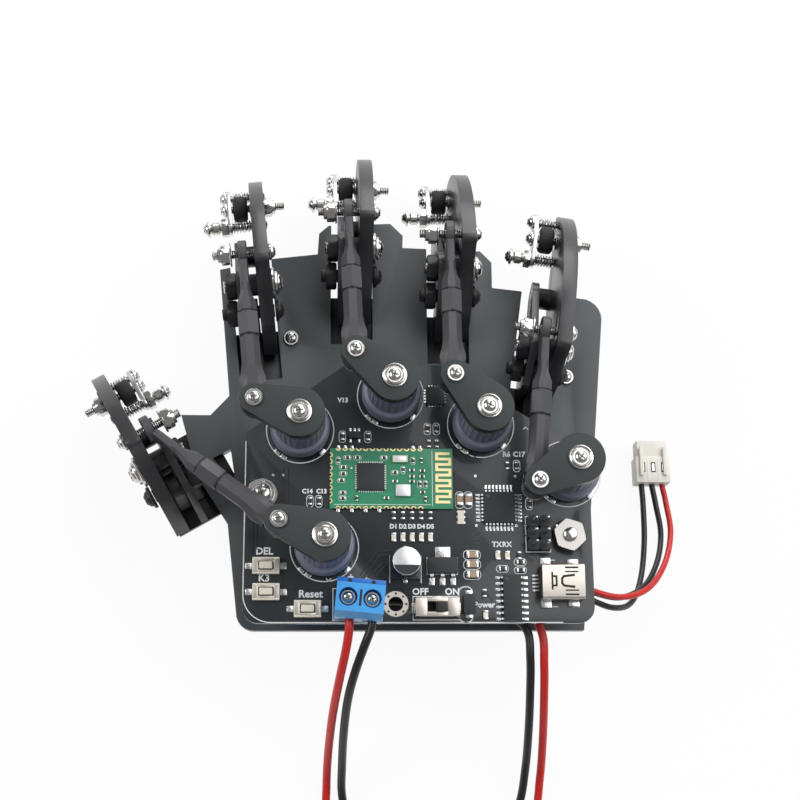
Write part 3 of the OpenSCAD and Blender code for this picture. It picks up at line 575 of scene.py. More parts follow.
def dressed_copy(
    node: str, face: Finish, edge: Finish, across: Vector, body: str, bevel: float = 0.18 * MM,
) -> bpy.types.Object:
    """Copy a plate's CAD node with broken edges, its cut edges in a finish of their own.

    Args:
        node: the CAD node.
        face: the finish of the two flat sides.
        edge: the finish of the cut edges.
        across: the direction through the plate's thickness.
        body: the body that carries the plate.
        bevel: width of the broken edges.

    Returns:
        The finished object.
    """
    form = bmesh.new()
    form.from_mesh(frame["nodes"][node].data)
    bmesh.ops.remove_doubles(form, verts=form.verts, dist=1e-6)
    bmesh.ops.dissolve_limit(form, angle_limit=0.02, verts=form.verts, edges=form.edges)
    sharp = [e for e in form.edges if e.calc_face_angle(0) > 0.7]
    bmesh.ops.bevel(form, geom=sharp, offset=bevel, segments=2, affect="EDGES", profile=0.6, clamp_overlap=True)
    mesh = bpy.data.meshes.new(f"{node}_dressed")
    for made in form.faces:
        flat = abs(made.normal.dot(across)) > 0.9
        made.material_index = 0 if flat else 1
        made.smooth = not flat
    form.to_mesh(mesh)
    form.free()
    mesh.materials.append(face.material())
    mesh.materials.append(edge.material())
    return carried(f"{node}_dressed", mesh, body, [node], 28)


# ---- node trees for what repeats


class Tree:
    """A Geometry Nodes tree under construction, with named inputs."""

    def __init__(self, name: str, **inputs: str) -> None:
        """Start a tree.

        Args:
            name: the tree's name.
            **inputs: socket type of each input, by name.
        """
        self.group = bpy.data.node_groups.new(name, "GeometryNodeTree")
        self.keys: dict[str, str] = {}
        for key, kind in inputs.items():
            made = self.group.interface.new_socket(key, in_out="INPUT", socket_type=f"NodeSocket{kind}")
            self.keys[key] = made.identifier
        self.group.interface.new_socket("Result", in_out="OUTPUT", socket_type="NodeSocketGeometry")
        self.inputs = self.group.nodes.new("NodeGroupInput").outputs

    def node(self, kind: str, settings: dict | None = None, **sockets: object) -> bpy.types.Node:
        """Add a node, set it up, then feed its sockets.

        Args:
            kind: the node's type name.
            settings: properties of the node, set before its sockets.
            **sockets: values or links by socket name, with _ for a space.

        Returns:
            The new node.
        """
        made = self.group.nodes.new(kind)
        for key, value in (settings or {}).items():
            setattr(made, key, value)
        for key, value in sockets.items():
            socket = next(s for s in made.inputs if s.name == key.replace("_", " ") and s.enabled)
            if isinstance(value, Socket):
                self.group.links.new(value, socket)
            else:
                socket.default_value = value
        return made

    def close(self, geometry: Socket) -> "Tree":
        """End the tree in Realize Instances and Set Material."""
        real = self.node("GeometryNodeRealizeInstances", Geometry=geometry)
        dressed = self.node(
            "GeometryNodeSetMaterial", None, Geometry=real.outputs[0], Material=self.inputs["Material"]
        )
        out = self.group.nodes.new("NodeGroupOutput")
        self.group.links.new(dressed.outputs[0], out.inputs[0])
        return self

    def grow(self, base: bpy.types.Mesh | None, finish: Finish, **values: object) -> bpy.types.Mesh:
        """Run the tree and return its result as a plain mesh.

        Args:
            base: the mesh that the tree starts from, if it reads one.
            finish: the finish that the tree sets.
            **values: the values of its named inputs.

        Returns:
            A new mesh.
        """
        holder = linked("holder", base or bpy.data.meshes.new("seed"))
        modifier = holder.modifiers.new("tree", "NODES")
        modifier.node_group = self.group
        for key, value in {**values, "Material": finish.material()}.items():
            modifier[self.keys[key]] = value
        ready = holder.evaluated_get(bpy.context.evaluated_depsgraph_get())
        mesh = bpy.data.meshes.new_from_object(ready)
        holder.modifiers.remove(modifier)
        seed = holder.data
        bpy.data.objects.remove(holder)
        bpy.data.meshes.remove(seed)
        return mesh


def copies_tree() -> Tree:
    """Return the tree that sets a template on each point, turned by the point's own angles."""
    tree = Tree("copies", Geometry="Geometry", Template="Object", Material="Material")
    turn = tree.node("GeometryNodeInputNamedAttribute", {"data_type": "FLOAT_VECTOR"}, Name="turn")
    spin = tree.node("FunctionNodeEulerToRotation", Euler=turn.outputs[0])
    template = tree.node("GeometryNodeObjectInfo", Object=tree.inputs["Template"])
    placed = tree.node(
        "GeometryNodeInstanceOnPoints", None, Points=tree.inputs["Geometry"],
        Instance=template.outputs["Geometry"], Rotation=spin.outputs[0],
    )
    return tree.close(placed.outputs[0])


def spring_tree() -> Tree:
    """Return the tree of a coil spring round Z, in millimetres."""
    tree = Tree("spring", Turns="Float", Radius="Float", Length="Float", Wire="Float", Material="Material")
    line = tree.node(
        "GeometryNodeCurveSpiral", None, Resolution=14, Rotations=tree.inputs["Turns"],
        Start_Radius=tree.inputs["Radius"], End_Radius=tree.inputs["Radius"], Height=tree.inputs["Length"],
    )
    section = tree.node("GeometryNodeCurvePrimitiveCircle", Resolution=7, Radius=tree.inputs["Wire"])
    wire = tree.node(
        "GeometryNodeCurveToMesh", None, Curve=line.outputs[0], Profile_Curve=section.outputs[0],
        Fill_Caps=True,
    )
    return tree.close(wire.outputs[0])


def ribs_tree() -> Tree:
    """Return the tree of straight ribs round a knob, each a capped rod set on a ring of points."""
    tree = Tree("ribs", Count="Int", Ring="Float", Rib="Float", Low="Float", Height="Float", Material="Material")
    ring = tree.node("GeometryNodeMeshCircle", Vertices=tree.inputs["Count"], Radius=tree.inputs["Ring"])
    rib = tree.node(
        "GeometryNodeMeshCylinder", None, Vertices=10, Radius=tree.inputs["Rib"], Depth=tree.inputs["Height"]
    )
    lift = tree.node("ShaderNodeCombineXYZ", Z=tree.inputs["Low"])
    shifted = tree.node("GeometryNodeTransform", Geometry=rib.outputs[0], Translation=lift.outputs[0])
    placed = tree.node("GeometryNodeInstanceOnPoints", Points=ring.outputs[0], Instance=shifted.outputs[0])
    return tree.close(placed.outputs[0])


TREES: dict[str, Tree] = {}


def tree_of(kind: str, build: Callable[[], Tree]) -> Tree:
    """Return the tree of a kind, built on its first use."""
    if kind not in TREES:
        TREES[kind] = build()
    return TREES[kind]


def set_copies(
    solid: Solid, template: Callable[[Solid, Finish], object], finish: Finish, places: Sequence[Matrix],
) -> None:
    """Set copies of a small form at each place through the copies tree.

    Args:
        solid: the piece they join.
        template: builds one copy at the origin, in millimetres.
        finish: the finish of all of them.
        places: matrices in the row frame, whose scale gives the unit.
    """
    one = Solid("template")
    template(one, finish)
    mesh = bpy.data.meshes.new("template")
    one.shape.to_mesh(mesh)
    one.shape.free()
    mesh.set_sharp_from_angle(angle=radians(35))
    holder = bpy.data.objects.new("template", mesh)
    points = bpy.data.meshes.new("points")
    points.from_pydata([place.translation / MM for place in places], [], [])
    turns = points.attributes.new("turn", "FLOAT_VECTOR", "POINT")
    for item, place in zip(turns.data, places):
        along = (place.to_3x3() @ Vector((0, 0, 1))).normalized()
        ahead = (place.to_3x3() @ Vector((1, 0, 0))).normalized()
        across = along.cross(ahead).normalized()
        item.vector = Matrix((across.cross(along), across, along)).transposed().to_euler()
    grown = tree_of("copies", copies_tree).grow(points, finish, Template=holder)
    solid.grown(grown, finish, Matrix.Scale(MM, 4))
    bpy.data.objects.remove(holder)
    bpy.data.meshes.remove(mesh)


# ---- studio and cords


@dataclass
class Studio:
    """Plain white studio: camera, soft lights, floor and backdrop."""

    eye: Vector = field(default_factory=lambda: Vector((-22.1, -61.1, 328.6)) * MM)
    right: Vector = field(default_factory=lambda: Vector((0.9984, -0.0065, 0.0565)))
    up: Vector = field(default_factory=lambda: Vector((-0.008, 0.9675, 0.2528)))
    lens: float = 65.3
    floor_z: float = -16.4 * MM

    def camera(self) -> None:
        """Place the camera that looks down on the back of the hand."""
        data = bpy.data.cameras.new("camera")
        data.lens = self.lens
        data.sensor_width = 36
        data.clip_start = 0.01
        made = linked("camera", data)
        back = self.right.cross(self.up).normalized()
        up = back.cross(self.right).normalized()
        turn = Matrix((self.right.normalized(), up, back)).transposed().to_4x4()
        made.matrix_world = Matrix.Translation(self.eye) @ turn
        bpy.context.scene.camera = made

    def light(self, name: str, place: Sequence[float], aim: Vector, size: float, power: float) -> None:
        """Add one square soft light that faces a point."""
        data = bpy.data.lights.new(name, "AREA")
        data.size = size
        data.energy = power
        made = linked(name, data)
        spot = Vector(place)
        made.matrix_world = Matrix.Translation(spot) @ (spot - aim).to_track_quat("Z", "Y").to_matrix().to_4x4()

    def white(self) -> bpy.types.Material:
        """Return the floor's material, which the lens sees as plain white with a soft shadow."""
        shade = Shade("studio_white")
        shade.surface.inputs["Base Color"].default_value = (0.9, 0.9, 0.9, 1)
        shade.surface.inputs["Roughness"].default_value = 0.9
        rays = shade.node("ShaderNodeLightPath")
        glow = shade.node("ShaderNodeEmission", Color=(1.0, 1.0, 1.0), Strength=1.0)
        seen = Num(shade, rays.outputs["Is Camera Ray"]) + Num(shade, rays.outputs["Is Glossy Ray"])
        seen = seen + Num(shade, rays.outputs["Is Transmission Ray"])
        both = shade.node("ShaderNodeMixShader")
        shade.feed(both.inputs[0], (seen > 0.5) * 0.93)
        shade.tree.links.new(shade.surface.outputs[0], both.inputs[1])
        shade.tree.links.new(glow.outputs[0], both.inputs[2])
        shade.tree.links.new(both.outputs[0], shade.output.inputs["Surface"])
        return shade.material

    def build(self) -> None:
        """Build the whole studio."""
        self.camera()
        aim = Vector((0.0, 0.01, 0.0))
        self.light("key", (0.5, 0.3, 0.75), aim, 1.0, 7.2)
        self.light("fill", (-0.55, 0.12, 0.55), aim, 0.4, 2.6)
        self.light("rim", (0.1, 0.75, 0.3), aim, 0.5, 3.0)
        mesh = bpy.data.meshes.new("studio_floor")
        far = 3.0
        corners = [(x * far, y * far, self.floor_z) for x, y in ((-1, -1), (1, -1), (1, 1), (-1, 1))]
        mesh.from_pydata(corners, [], [(0, 1, 2, 3)])
        mesh.materials.append(self.white())
        linked("studio_floor", mesh)
        world = bpy.data.worlds.new("studio")
        world.use_nodes = True
        world.node_tree.nodes["Background"].inputs["Color"].default_value = (1, 1, 1, 1)
        world.node_tree.nodes["Background"].inputs["Strength"].default_value = 0.22
        bpy.context.scene.world = world
        bpy.context.scene.view_settings.view_transform = "Standard"


@dataclass
class Leads:
    """The battery's two main leads and its three balance wires."""

    lead_d: float = 1.9
    wire_d: float = 1.4
    routes: dict[str, list[Triple]] = field(default_factory=lambda: {
        "main_lead_red": [
            (-15.3, -27.4, 20), (-15.2, -30.5, 19.9), (-15.9, -35, 18), (-17.2, -41, 12.5),
            (-18.4, -47.5, 4.5), (-19.2, -55, -6), (-19.5, -62, -12.8), (-19.2, -70, -15),
            (-15.5, -79, -15), (-7.5, -85, -15), (3, -87, -15), (14, -85, -15), (23, -79, -15),
            (28, -70, -15), (29.3, -61, -12.5), (29.2, -53, -6), (28.6, -45, 1.5), (28.1, -37, 6.8),
            (27.6, -30, 8), (24, -24, 8), (16, -21, 8), (5, -19.5, 8), (-8, -19, 8)],
        "main_lead_black": [
            (-10.3, -26.9, 20), (-10.5, -30, 19.9), (-12, -34, 18.6), (-13.8, -39, 15),
            (-15.2, -44.5, 9.5), (-15.9, -51, 1.5), (-16.1, -58, -7.5), (-15.9, -65, -13.5),
            (-13.5, -73, -15), (-7, -79.5, -15), (3, -82, -15), (13, -80, -15), (20.5, -74.5, -15),
            (24.5, -67, -14.2), (25.6, -59, -9.8), (25.6, -51, -3), (25.3, -43, 3.3), (25, -35.5, 7.3),
            (24.3, -29.5, 8), (20, -26, 8), (12, -24.3, 8), (2, -23.3, 8), (-8, -23, 8)],
        "balance_wire_red": [
            (-8, -8, 8), (10, -10, 8), (26, -15.5, 7.6), (38, -20, 6.4), (46.5, -21.6, 3.4),
            (54, -19, -1.5), (59.5, -12.5, -7), (62.3, -4.5, -11), (61.9, 3, -12.4), (61.1, 7.5, -12.4)],
        "balance_wire_black": [
            (-8, -11, 7), (10, -13, 7), (26, -18, 6.6), (38, -22, 5.4), (45, -23.8, 1.8),
            (50.4, -22, -3.8), (54, -15.8, -8.6), (56, -6.5, -11.8), (56.3, 2.5, -12.4),
            (56.1, 7.5, -12.4)],
        "balance_wire_black_2": [
            (-8, -8, 5.6), (10, -10, 5.6), (26, -15.4, 5.2), (38, -19.9, 4.2), (46.6, -21.4, 0.9),
            (53.6, -18.3, -4.2), (58.2, -12, -9.4), (60.4, -4.5, -13), (59.5, 2.5, -12.8),
            (58.6, 7.5, -12.4)],
    })

    def smooth(self, points: Sequence[Vector], steps: int = 8) -> list[Vector]:
        """Run a smooth curve through the points of a route."""
        padded = [points[0] * 2 - points[1], *points, points[-1] * 2 - points[-2]]
        path = []
        for a, b, c, d in zip(padded, padded[1:], padded[2:], padded[3:]):
            for k in range(steps):
                t = k / steps
                path.append(0.5 * (2 * b + (c - a) * t + (2 * a - 5 * b + 4 * c - d) * t**2
                                   + (3 * b - a - 3 * c + d) * t**3))
        return [*path, points[-1]]

    def build(self) -> None:
        for node, route in self.routes.items():
            path = self.smooth([Vector(p) * MM for p in route])
            thick = self.lead_d if node.startswith("main") else self.wire_d
            finish = LEAD_RED if node.endswith("red") else LEAD_BLACK
            solid = Solid(f"{node}_sleeve")
            solid.tube(path, thick / 2 * MM, finish, 12)
            made = solid.finish("base", node)
            length = sum((b - a).length for a, b in zip(path, path[1:]))
            tuple(path[0])
            [tuple(p) for p in path]


# ---- fasteners

UNIT = Matrix.Scale(MM, 4)
DOWN = Matrix.Rotation(pi, 4, "X")
DECK = 16.62
M2_R = 0.98
M3_R = 1.48
ACROSS = Matrix(((0, 0, 1, 0), (1, 0, 0, 0), (0, 1, 0, 0), (0, 0, 0, 1)))


def across_pin(x: float, at: Point = (0.0, 0.0), outward: int = 1) -> Matrix:
    """Return the matrix that lays local Z along X from x, at (forward, up), towards +X or -X."""
    return move(x, at[0], at[1]) @ Matrix.Rotation(outward * pi / 2, 4, "Y")


@dataclass(frozen=True)
class PanHead:
    """A pan-head screw's head with a crossed recess, in millimetres, on its seat at z = 0."""

    radius: float
    height: float

    def body(self, solid: Solid, finish: Finish) -> None:
        """Turn the head, dished where the driver goes."""
        r, h = self.radius, self.height
        dome = [(r * 0.72 * sin(a), h * (0.5 + 0.5 * cos(a))) for a in (1.4, 1.1, 0.8, 0.5)]
        solid.lathe(
            [(0, 0), (r * 0.96, 0), (r, h * 0.1), (r * 0.98, h * 0.32), (r * 0.9, h * 0.42), (r * 0.75, h * 0.42),
             *dome,
             (r * 0.2, h * 0.96), (0, h * 0.9)],
            finish, steps=28,
        )

    def recess(self, solid: Solid, finish: Finish) -> None:
        """Lay the cross of the recess into the dish, in darker steel that paints the shade inside the recess."""
        long, wide, top = self.radius * 0.42, self.radius * 0.1, self.height * 1.01
        for spin in (0, pi / 2):
            bar = [(-long, -wide), (long, -wide), (long, wide), (-long, wide)]
            solid.prism(bar, self.height * 0.5, top, finish, Matrix.Rotation(spin + 0.4, 4, "Z"), bevel=wide * 0.4)


@dataclass(frozen=True)
class HexNut:
    """A hexagon nut with chamfered corners and a collar for the lock ring, in millimetres."""

    flats: float
    height: float
    bore: float
    collar: float = 0.0
    chamfer: float = 0.9

    def body(self, solid: Solid, finish: Finish) -> None:
        """Build the nut as a ring of six flats round its bore."""
        rings = []
        corner = self.flats / 2 / cos(pi / 6)
        body = self.height - self.collar
        rim = corner * self.chamfer
        rows = ((self.bore, 0), (rim, 0), (corner, body * 0.14), (corner, body * 0.9), (rim, body))
        tail = ((self.flats * 0.42, body), (self.flats * 0.4, self.height), (self.bore, self.height))
        for r, z in (*rows, *(tail if self.collar else ((self.bore, body),))):
            ring = []
            for k in range(24):
                a = 2 * pi * k / 24
                flat = self.flats / 2 / cos((a + pi / 6) % (pi / 3) - pi / 6)
                reach = min(r, flat) if r > self.bore * 1.01 else r
                ring.append(Vector((reach * cos(a), reach * sin(a), z)))
            rings.append(ring)
        solid.loft(rings, finish, closed=True)


@dataclass(frozen=True)
class Washer:
    """A flat washer, in millimetres."""

    radius: float
    bore: float
    height: float

    def body(self, solid: Solid, finish: Finish) -> None:
        """Turn the washer with broken edges."""
        r, b, h, c = self.radius, self.bore, self.height, self.height * 0.25
        solid.lathe([(b, 0), (r - c, 0), (r, c), (r, h - c), (r - c, h), (b, h)], finish, steps=32)


def threaded(solid: Solid, finish: Finish, radius: float, length: float, place: Matrix) -> None:
    """Turn a threaded shank from z = 0 to length, in millimetres."""
    pitch = 0.42
    profile: list[Point] = [(0, 0)]
    turns = max(2, int(length / pitch))
    for k in range(turns):
        z = length * k / turns
        profile += [(radius * 0.82, z), (radius, z + length / turns / 2)]
    profile += [(radius * 0.82, length), (0, length)]
    solid.lathe(profile, finish, place, steps=18, smooth=False)


def blocks(
    solid: Solid, size: Sequence[float], centre: Sequence[float], finish: Finish, places: Sequence[Matrix],
    bevel: float = 0.0,
) -> None:
    """Set equal blocks, round a centre, at each place through the copies tree."""
    set_copies(solid, lambda one, made: one.block(size, centre, made, bevel=bevel), finish, places)


def screws(solid: Solid, head: PanHead, places: Sequence[Matrix], finish: Finish | None = None) -> None:
    """Set pan heads, with the painted shade of their recesses, at each place through the copies tree."""
    set_copies(solid, head.body, finish or STEEL, places)
    set_copies(solid, head.recess, STEEL_RECESS_SHADE, places)


M2_HEAD, SLEEVE_HEAD, M3_NUT = PanHead(1.9, 1.5), PanHead(2.6, 1.98), HexNut(5.5, 2.38, 1.52)


# ---- sensors, arms and rods


@dataclass
class SensorUnit:
    """A rotary sensor's ribbed knob and the arm screwed on it."""

    digit: Digit
    knob_z: float = 17.6
    skirt_r: float = 6.5
    skirt_h: float = 4.2
    knob_r: float = 5.25
    knob_h: float = 13.0
    ribs: int = 26
    rib_r: float = 0.34
    arm_z: float = 30.6
    arm_t: float = 3.0
    arm_l: float = 10.0
    hub_r: float = 5.4
    tip_r: float = 3.2
    washer_z: float = 25.5

    def knob(self) -> None:
        """Build the ribbed knob with its smooth skirt."""
        base = self.digit.arm_place(self.knob_z * MM) @ UNIT
        solid = Solid(f"{self.digit.label}_ribbed_knob")
        r, s, top = self.knob_r, self.skirt_r, self.knob_h
        solid.lathe(
            [(0, 0.2), (s - 0.25, 0.2), (s, 0.5), (s, self.skirt_h - 0.5), (s - 0.35, self.skirt_h),
             (r + 0.2, self.skirt_h + 0.25), (r, self.skirt_h + 0.6), (r, top - 0.3), (r - 0.3, top), (0, top)],
            KNOB_PLASTIC, base, 48,
        )
        ribs = tree_of("ribs", ribs_tree).grow(
            None, KNOB_PLASTIC, Count=self.ribs, Ring=r - 0.16, Rib=self.rib_r,
            Low=(self.skirt_h + top) / 2 + 0.1, Height=top - self.skirt_h - 0.8,
        )
        solid.grown(ribs, KNOB_PLASTIC, base)
        solid.finish(f"{self.digit.label}_sensor", f"{self.digit.label}_knob")

    def outline(self) -> list[Point]:
        """Return the arm's teardrop outline."""
        lean = acos((self.hub_r - self.tip_r) / self.arm_l)
        hub = [lean + (2 * pi - 2 * lean) * k / 40 for k in range(41)]
        tip = [-lean + 2 * lean * k / 20 for k in range(21)]
        return [
            *((self.hub_r * cos(a), self.hub_r * sin(a)) for a in hub),
            *((self.arm_l + self.tip_r * cos(a), self.tip_r * sin(a)) for a in tip),
        ]

    def arm(self) -> None:
        """Build the arm plate with its hub screw, cup washer and link screw."""
        base = self.digit.arm_place() @ UNIT
        top = self.arm_z + self.arm_t
        solid = Solid(f"{self.digit.label}_sensor_arm")
        solid.prism(self.outline(), self.arm_z, top, ARM_FACE, base, bevel=0.22, edge=ACRYLIC_BLACK)
        cup = [(1.2, 0), (2.45, 0), (2.6, 0.12), (2.6, 0.5), (2.4, 0.56), (2.0, 0.3), (1.2, 0.26)]
        solid.lathe(cup, STEEL, base @ move(0, 0, top), 40)
        tip = move(self.arm_l, 0, 0)
        screws(solid, PanHead(1.9, 1.2), [base @ move(0, 0, top + 0.3)])
        screws(solid, M2_HEAD, [base @ tip @ move(0, 0, top + 0.02)])
        threaded(solid, STEEL, M2_R, top - self.washer_z + 1.9, base @ tip @ move(0, 0, self.washer_z - 2))
        set_copies(solid, Washer(2.8, 1.02, 0.4).body, STEEL, [base @ tip @ move(0, 0, self.washer_z)])
        nut = base @ tip @ move(0, 0, self.washer_z - 1.62)
        set_copies(solid, HexNut(4.0, 1.6, 1.02).body, STEEL, [nut])
        solid.finish(f"{self.digit.label}_sensor", f"{self.digit.label}_arm")


@dataclass
class Rod:
    """A moulded ball-link rod: near paddle, faceted barrel, threaded sleeve and flat far neck."""

    digit: Digit
    eye_z: float = 28.4
    arm_l: float = 10.0
    stud: Triple = (-1.0, 3.5, 15.5)
    eye_r: float = 3.0
    bore_r: float = 2.3
    eye_t: float = 2.0
    barrel_r: float = 2.1
    sleeve_r: float = 2.5
    sleeve_l: float = 5.2
    near_l: float = 9.0
    far_l: float = 12.0
    neck_l: float = 7.5
    neck_r: float = 2.2

    def ends(self) -> tuple[Vector, Vector]:
        """Return the middles of the near and far eyes, in millimetres."""
        near = (self.digit.arm_place(self.eye_z * MM) @ Vector((self.arm_l * MM, 0, 0))) / MM
        far = (self.digit.place() @ (Vector(self.stud) * MM)) / MM
        return near, far

    def section(self, middle: Vector, side: Vector, up: Vector, half: Point, form: float) -> list[Vector]:
        """Return one section.

        Args:
            middle: its middle.
            side: direction of its width.
            up: direction of its height.
            half: half its width and height.
            form: -8 or -6 for that many flats, else the power of a rounded box.

        Returns:
            The points of the section.
        """
        ring = []
        for k in range(48):
            a = 2 * pi * k / 48
            c, s = cos(a), sin(a)
            if form < 0:
                wedge = 2 * pi / -form
                reach = cos(wedge / 2) / cos((a + wedge / 2) % wedge - wedge / 2)
            else:
                reach = (abs(c) ** form + abs(s) ** form) ** (-1 / form)
            ring.append(middle + side * (half[0] * reach * c) + up * (half[1] * reach * s))
        return ring

    def eye(self, solid: Solid, place: Matrix) -> None:
        """Build a rod eye as a ring with rounded rims."""
        r, b, t = self.eye_r, self.bore_r, self.eye_t / 2
        profile = [(b, -t + 0.15), (b + 0.15, -t), (r - 0.25, -t), (r, -t + 0.25), (r, t - 0.25), (r - 0.25, t),
                   (b + 0.15, t), (b, t - 0.15)]
        solid.lathe(profile, ROD_NYLON, place, 40)

    def build(self) -> None:
        """Build the rod between its two eyes."""
        near, far = self.ends()
        solid = Solid(f"{self.digit.label}_ball_link_rod")
        along = (far - near).normalized()
        length = (far - near).length
        up0 = Vector((0, 0, 1))
        side0 = along.cross(up0).normalized()
        up = side0.cross(along)
        self.eye(solid, UNIT @ Matrix.Translation(near))
        level = Matrix.Rotation(self.digit.turn, 4, "Z") @ Matrix.Rotation(pi / 2, 4, "Y")
        self.eye(solid, UNIT @ Matrix.Translation(far) @ level)
        flat = (level.to_3x3() @ Vector((0, 0, 1))).normalized()
        rise = flat.cross(along).normalized()
        if rise.z < 0:
            rise = -rise
        rings = []
        flat_r = self.barrel_r * 1.06
        peak = 2.6 if self.digit is Digit.LITTLE else 3.05
        for t, flare in ((0.0, 2.65), (0.3, min(peak, 3.0)), (0.5, peak), (0.72, peak * 0.85), (1.0, flat_r)):
            s = 2.45 + (self.near_l - 2.45) * t
            half = (flare, self.eye_t / 2 + (flat_r - self.eye_t / 2) * t)
            rings.append(self.section(near + along * s, side0, up, half, 7 if t == 0 else -8))
        start, end = (length - self.sleeve_l) / 2 + 0.6, (length + self.sleeve_l) / 2 + 0.6
        sleeve = self.sleeve_r
        for s, r, form in (
            (start - 0.5, flat_r, -8), (start - 0.35, flat_r * 0.86, -8), (start - 0.1, flat_r * 0.86, -8),
            (start, sleeve * 0.96, -6), (start + 0.2, sleeve, -6), (end - 0.2, sleeve, -6), (end, sleeve * 0.96, -6),
            (end + 0.1, flat_r * 0.88, -8), (end + 0.3, flat_r * 0.88, -8), (end + 0.45, flat_r, -8),
            (length - self.far_l, flat_r, -8),
        ):
            rings.append(self.section(near + along * s, side0, up, (r, r), form))
        for t in (0.25, 0.6, 1.0):
            s = length - self.far_l + (self.far_l - self.neck_l) * t
            eased = 1 - (1 - t) ** 2
            thin = flat_r + (self.eye_t / 2 - flat_r) * eased
            tall = flat_r + (self.neck_r - flat_r) * t
            side = (side0 * (1 - t) - flat * (1 if flat.dot(side0) < 0 else -1) * t).normalized()
            tilt, form = up.lerp(rise, t).normalized(), -8 if t < 1 else 6
            rings.append(self.section(near + along * s, side, tilt, (thin, tall), form))
        lean = flat * (1 if flat.dot(side0) > 0 else -1)
        for t in (0.5, 1.0):
            s = length - self.neck_l + (self.neck_l - 2.45) * t
            rings.append(self.section(near + along * s, lean, rise, (self.eye_t / 2, self.neck_r + 0.35 * t), 6))
        solid.loft(rings, ROD_NYLON, UNIT)
        solid.finish(f"{self.digit.label}_rod", f"{self.digit.label}_rod", smooth_angle=18)


# ---- finger units


@dataclass
class FingerUnit:
    """One finger's two plates with the bolts, clamp plate, springs and tyred roller between them."""

    digit: Digit
    arch_x: float = 1.5
    arch_out: float = 4.7
    cheek_out: float = -3.1
    clamp_x: float = -3.2
    clamp_out: float = -4.2
    stud: Point = (3.5, 15.5)
    spacer: Point = (3.4, 5.4)
    rivet: Point = (19.0, -1.5)
    rear: Point = (28.3, -0.5)
    front: Point = (38.1, -0.5)
    axle: Point = (33.2, 0.5)
    post_x: float = -8.6
    roller: Point = (-2.8, 0.7)
    roller_r: float = 3.1
    hub_r: float = 1.8
    spring_r: float = 1.28
    wire_r: float = 0.15
    coils: float = 6.0

    @property
    def base(self) -> Matrix:
        """Matrix from the finger's frame in millimetres to the row frame."""
        return self.digit.place() @ UNIT

    @property
    def stud_x(self) -> float:
        """Inner face of the washer on the stud, further out on the thumb."""
        return -4.2 if self.digit is Digit.THUMB else -3.5

    def plates(self) -> None:
        """Break the edges of both plates and dress them."""
        body = f"{self.digit.label}_finger"
        across = (self.digit.place().to_3x3() @ Vector((1, 0, 0))).normalized()
        dressed_copy(f"{self.digit.label}_arch_plate", ACRYLIC_BLACK, ACRYLIC_EDGE, across, body)
        dressed_copy(f"{self.digit.label}_side_plate", ACRYLIC_BLACK, ACRYLIC_EDGE, across, body)

    def bolts(self, solid: Solid) -> None:
        """Add every head, washer, nut and threaded end."""
        base = self.base
        screws(solid, PanHead(2.75, 1.75), [base @ across_pin(self.arch_out + 0.8, self.spacer)])
        screws(solid, M2_HEAD, [
            base @ across_pin(self.arch_out + 0.02, self.stud),
            base @ across_pin(self.clamp_out - 0.02, self.axle, -1),
            base @ across_pin(self.post_x, self.rear, -1),
            base @ across_pin(self.clamp_out - 0.02, self.front, -1),
        ])
        washers = {
            Washer(3.6, 1.52, 0.78): [(self.arch_out + 0.02, self.spacer)],
            Washer(2.6, 1.02, 0.4): [(self.stud_x - 0.4, self.stud)],
            Washer(1.9, 1.02, 0.38): [(self.arch_x - 0.4, self.axle)],
            Washer(1.5, 1.02, 2.75): [(self.post_x + 0.02, self.rear)],
        }
        for washer, seats in washers.items():
            set_copies(solid, washer.body, STEEL, [base @ across_pin(x, at) for x, at in seats])
        set_copies(solid, HexNut(4.0, 1.58, 1.02).body, STEEL, [base @ across_pin(self.clamp_out - 1.6, self.rear)])
        lock = HexNut(4.0, 2.58, 1.02, 0.7)
        set_copies(solid, lock.body, STEEL, [
            base @ across_pin(self.arch_out + 0.02, self.axle),
            base @ across_pin(self.stud_x - 0.42, self.stud, -1),
        ])
        set_copies(solid, M3_NUT.body, NYLON_BLACK, [base @ across_pin(self.cheek_out - 2.4, self.spacer)])
        shanks = (
            (self.cheek_out - 3.0, self.arch_out + 0.9, M3_R, self.spacer),
            (self.stud_x - 4.2, self.arch_out + 0.1, M2_R, self.stud),
            (self.clamp_out - 0.1, self.arch_out + 4.8, M2_R, self.axle),
            (self.post_x - 0.1, self.arch_out + 0.4, M2_R, self.rear),
            (self.clamp_out - 0.1, self.arch_out + 0.4, M2_R, self.front),
        )
        for low, high, radius, at in shanks:
            threaded(solid, STEEL, radius, high - low, base @ across_pin(low, at))
        solid.lathe(
            [(0, 0), (0.8, 0), (0.98, 0.2), (0.98, 7.6), (0.8, 7.8), (0, 7.8)], STEEL,
            base @ across_pin(self.cheek_out, self.rivet), 20,
        )

    def clamp(self, solid: Solid) -> None:
        """Add the bright clamp plate on the spring screws."""
        rear, front, axle = self.rear, self.front, self.axle
        ends = [
            [(x + 1.9 * cos(a), y + 1.9 * sin(a)) for a in (start - 3.14 * k / 14 for k in range(15))]
            for (x, y), start in ((rear, -1.57), (front, 1.57))
        ]
        outline = [*ends[0], (axle[0] - 1.8, axle[1] + 1.7), (axle[0] + 1.8, axle[1] + 1.7), *ends[1]]
        solid.prism(outline, self.clamp_out, self.clamp_x, TIN, self.base @ ACROSS, bevel=0.18)

    def springs(self, solid: Solid) -> None:
        """Add the two coil springs between clamp plate and arched plate."""
        for at in (self.rear, self.front):
            coil = tree_of("spring", spring_tree).grow(
                None, SPRING_STEEL, Turns=self.coils, Radius=self.spring_r, Wire=self.wire_r,
                Length=self.arch_x - self.clamp_x - 4 * self.wire_r,
            )
            solid.grown(coil, SPRING_STEEL, self.base @ across_pin(self.clamp_x + 2 * self.wire_r, at))

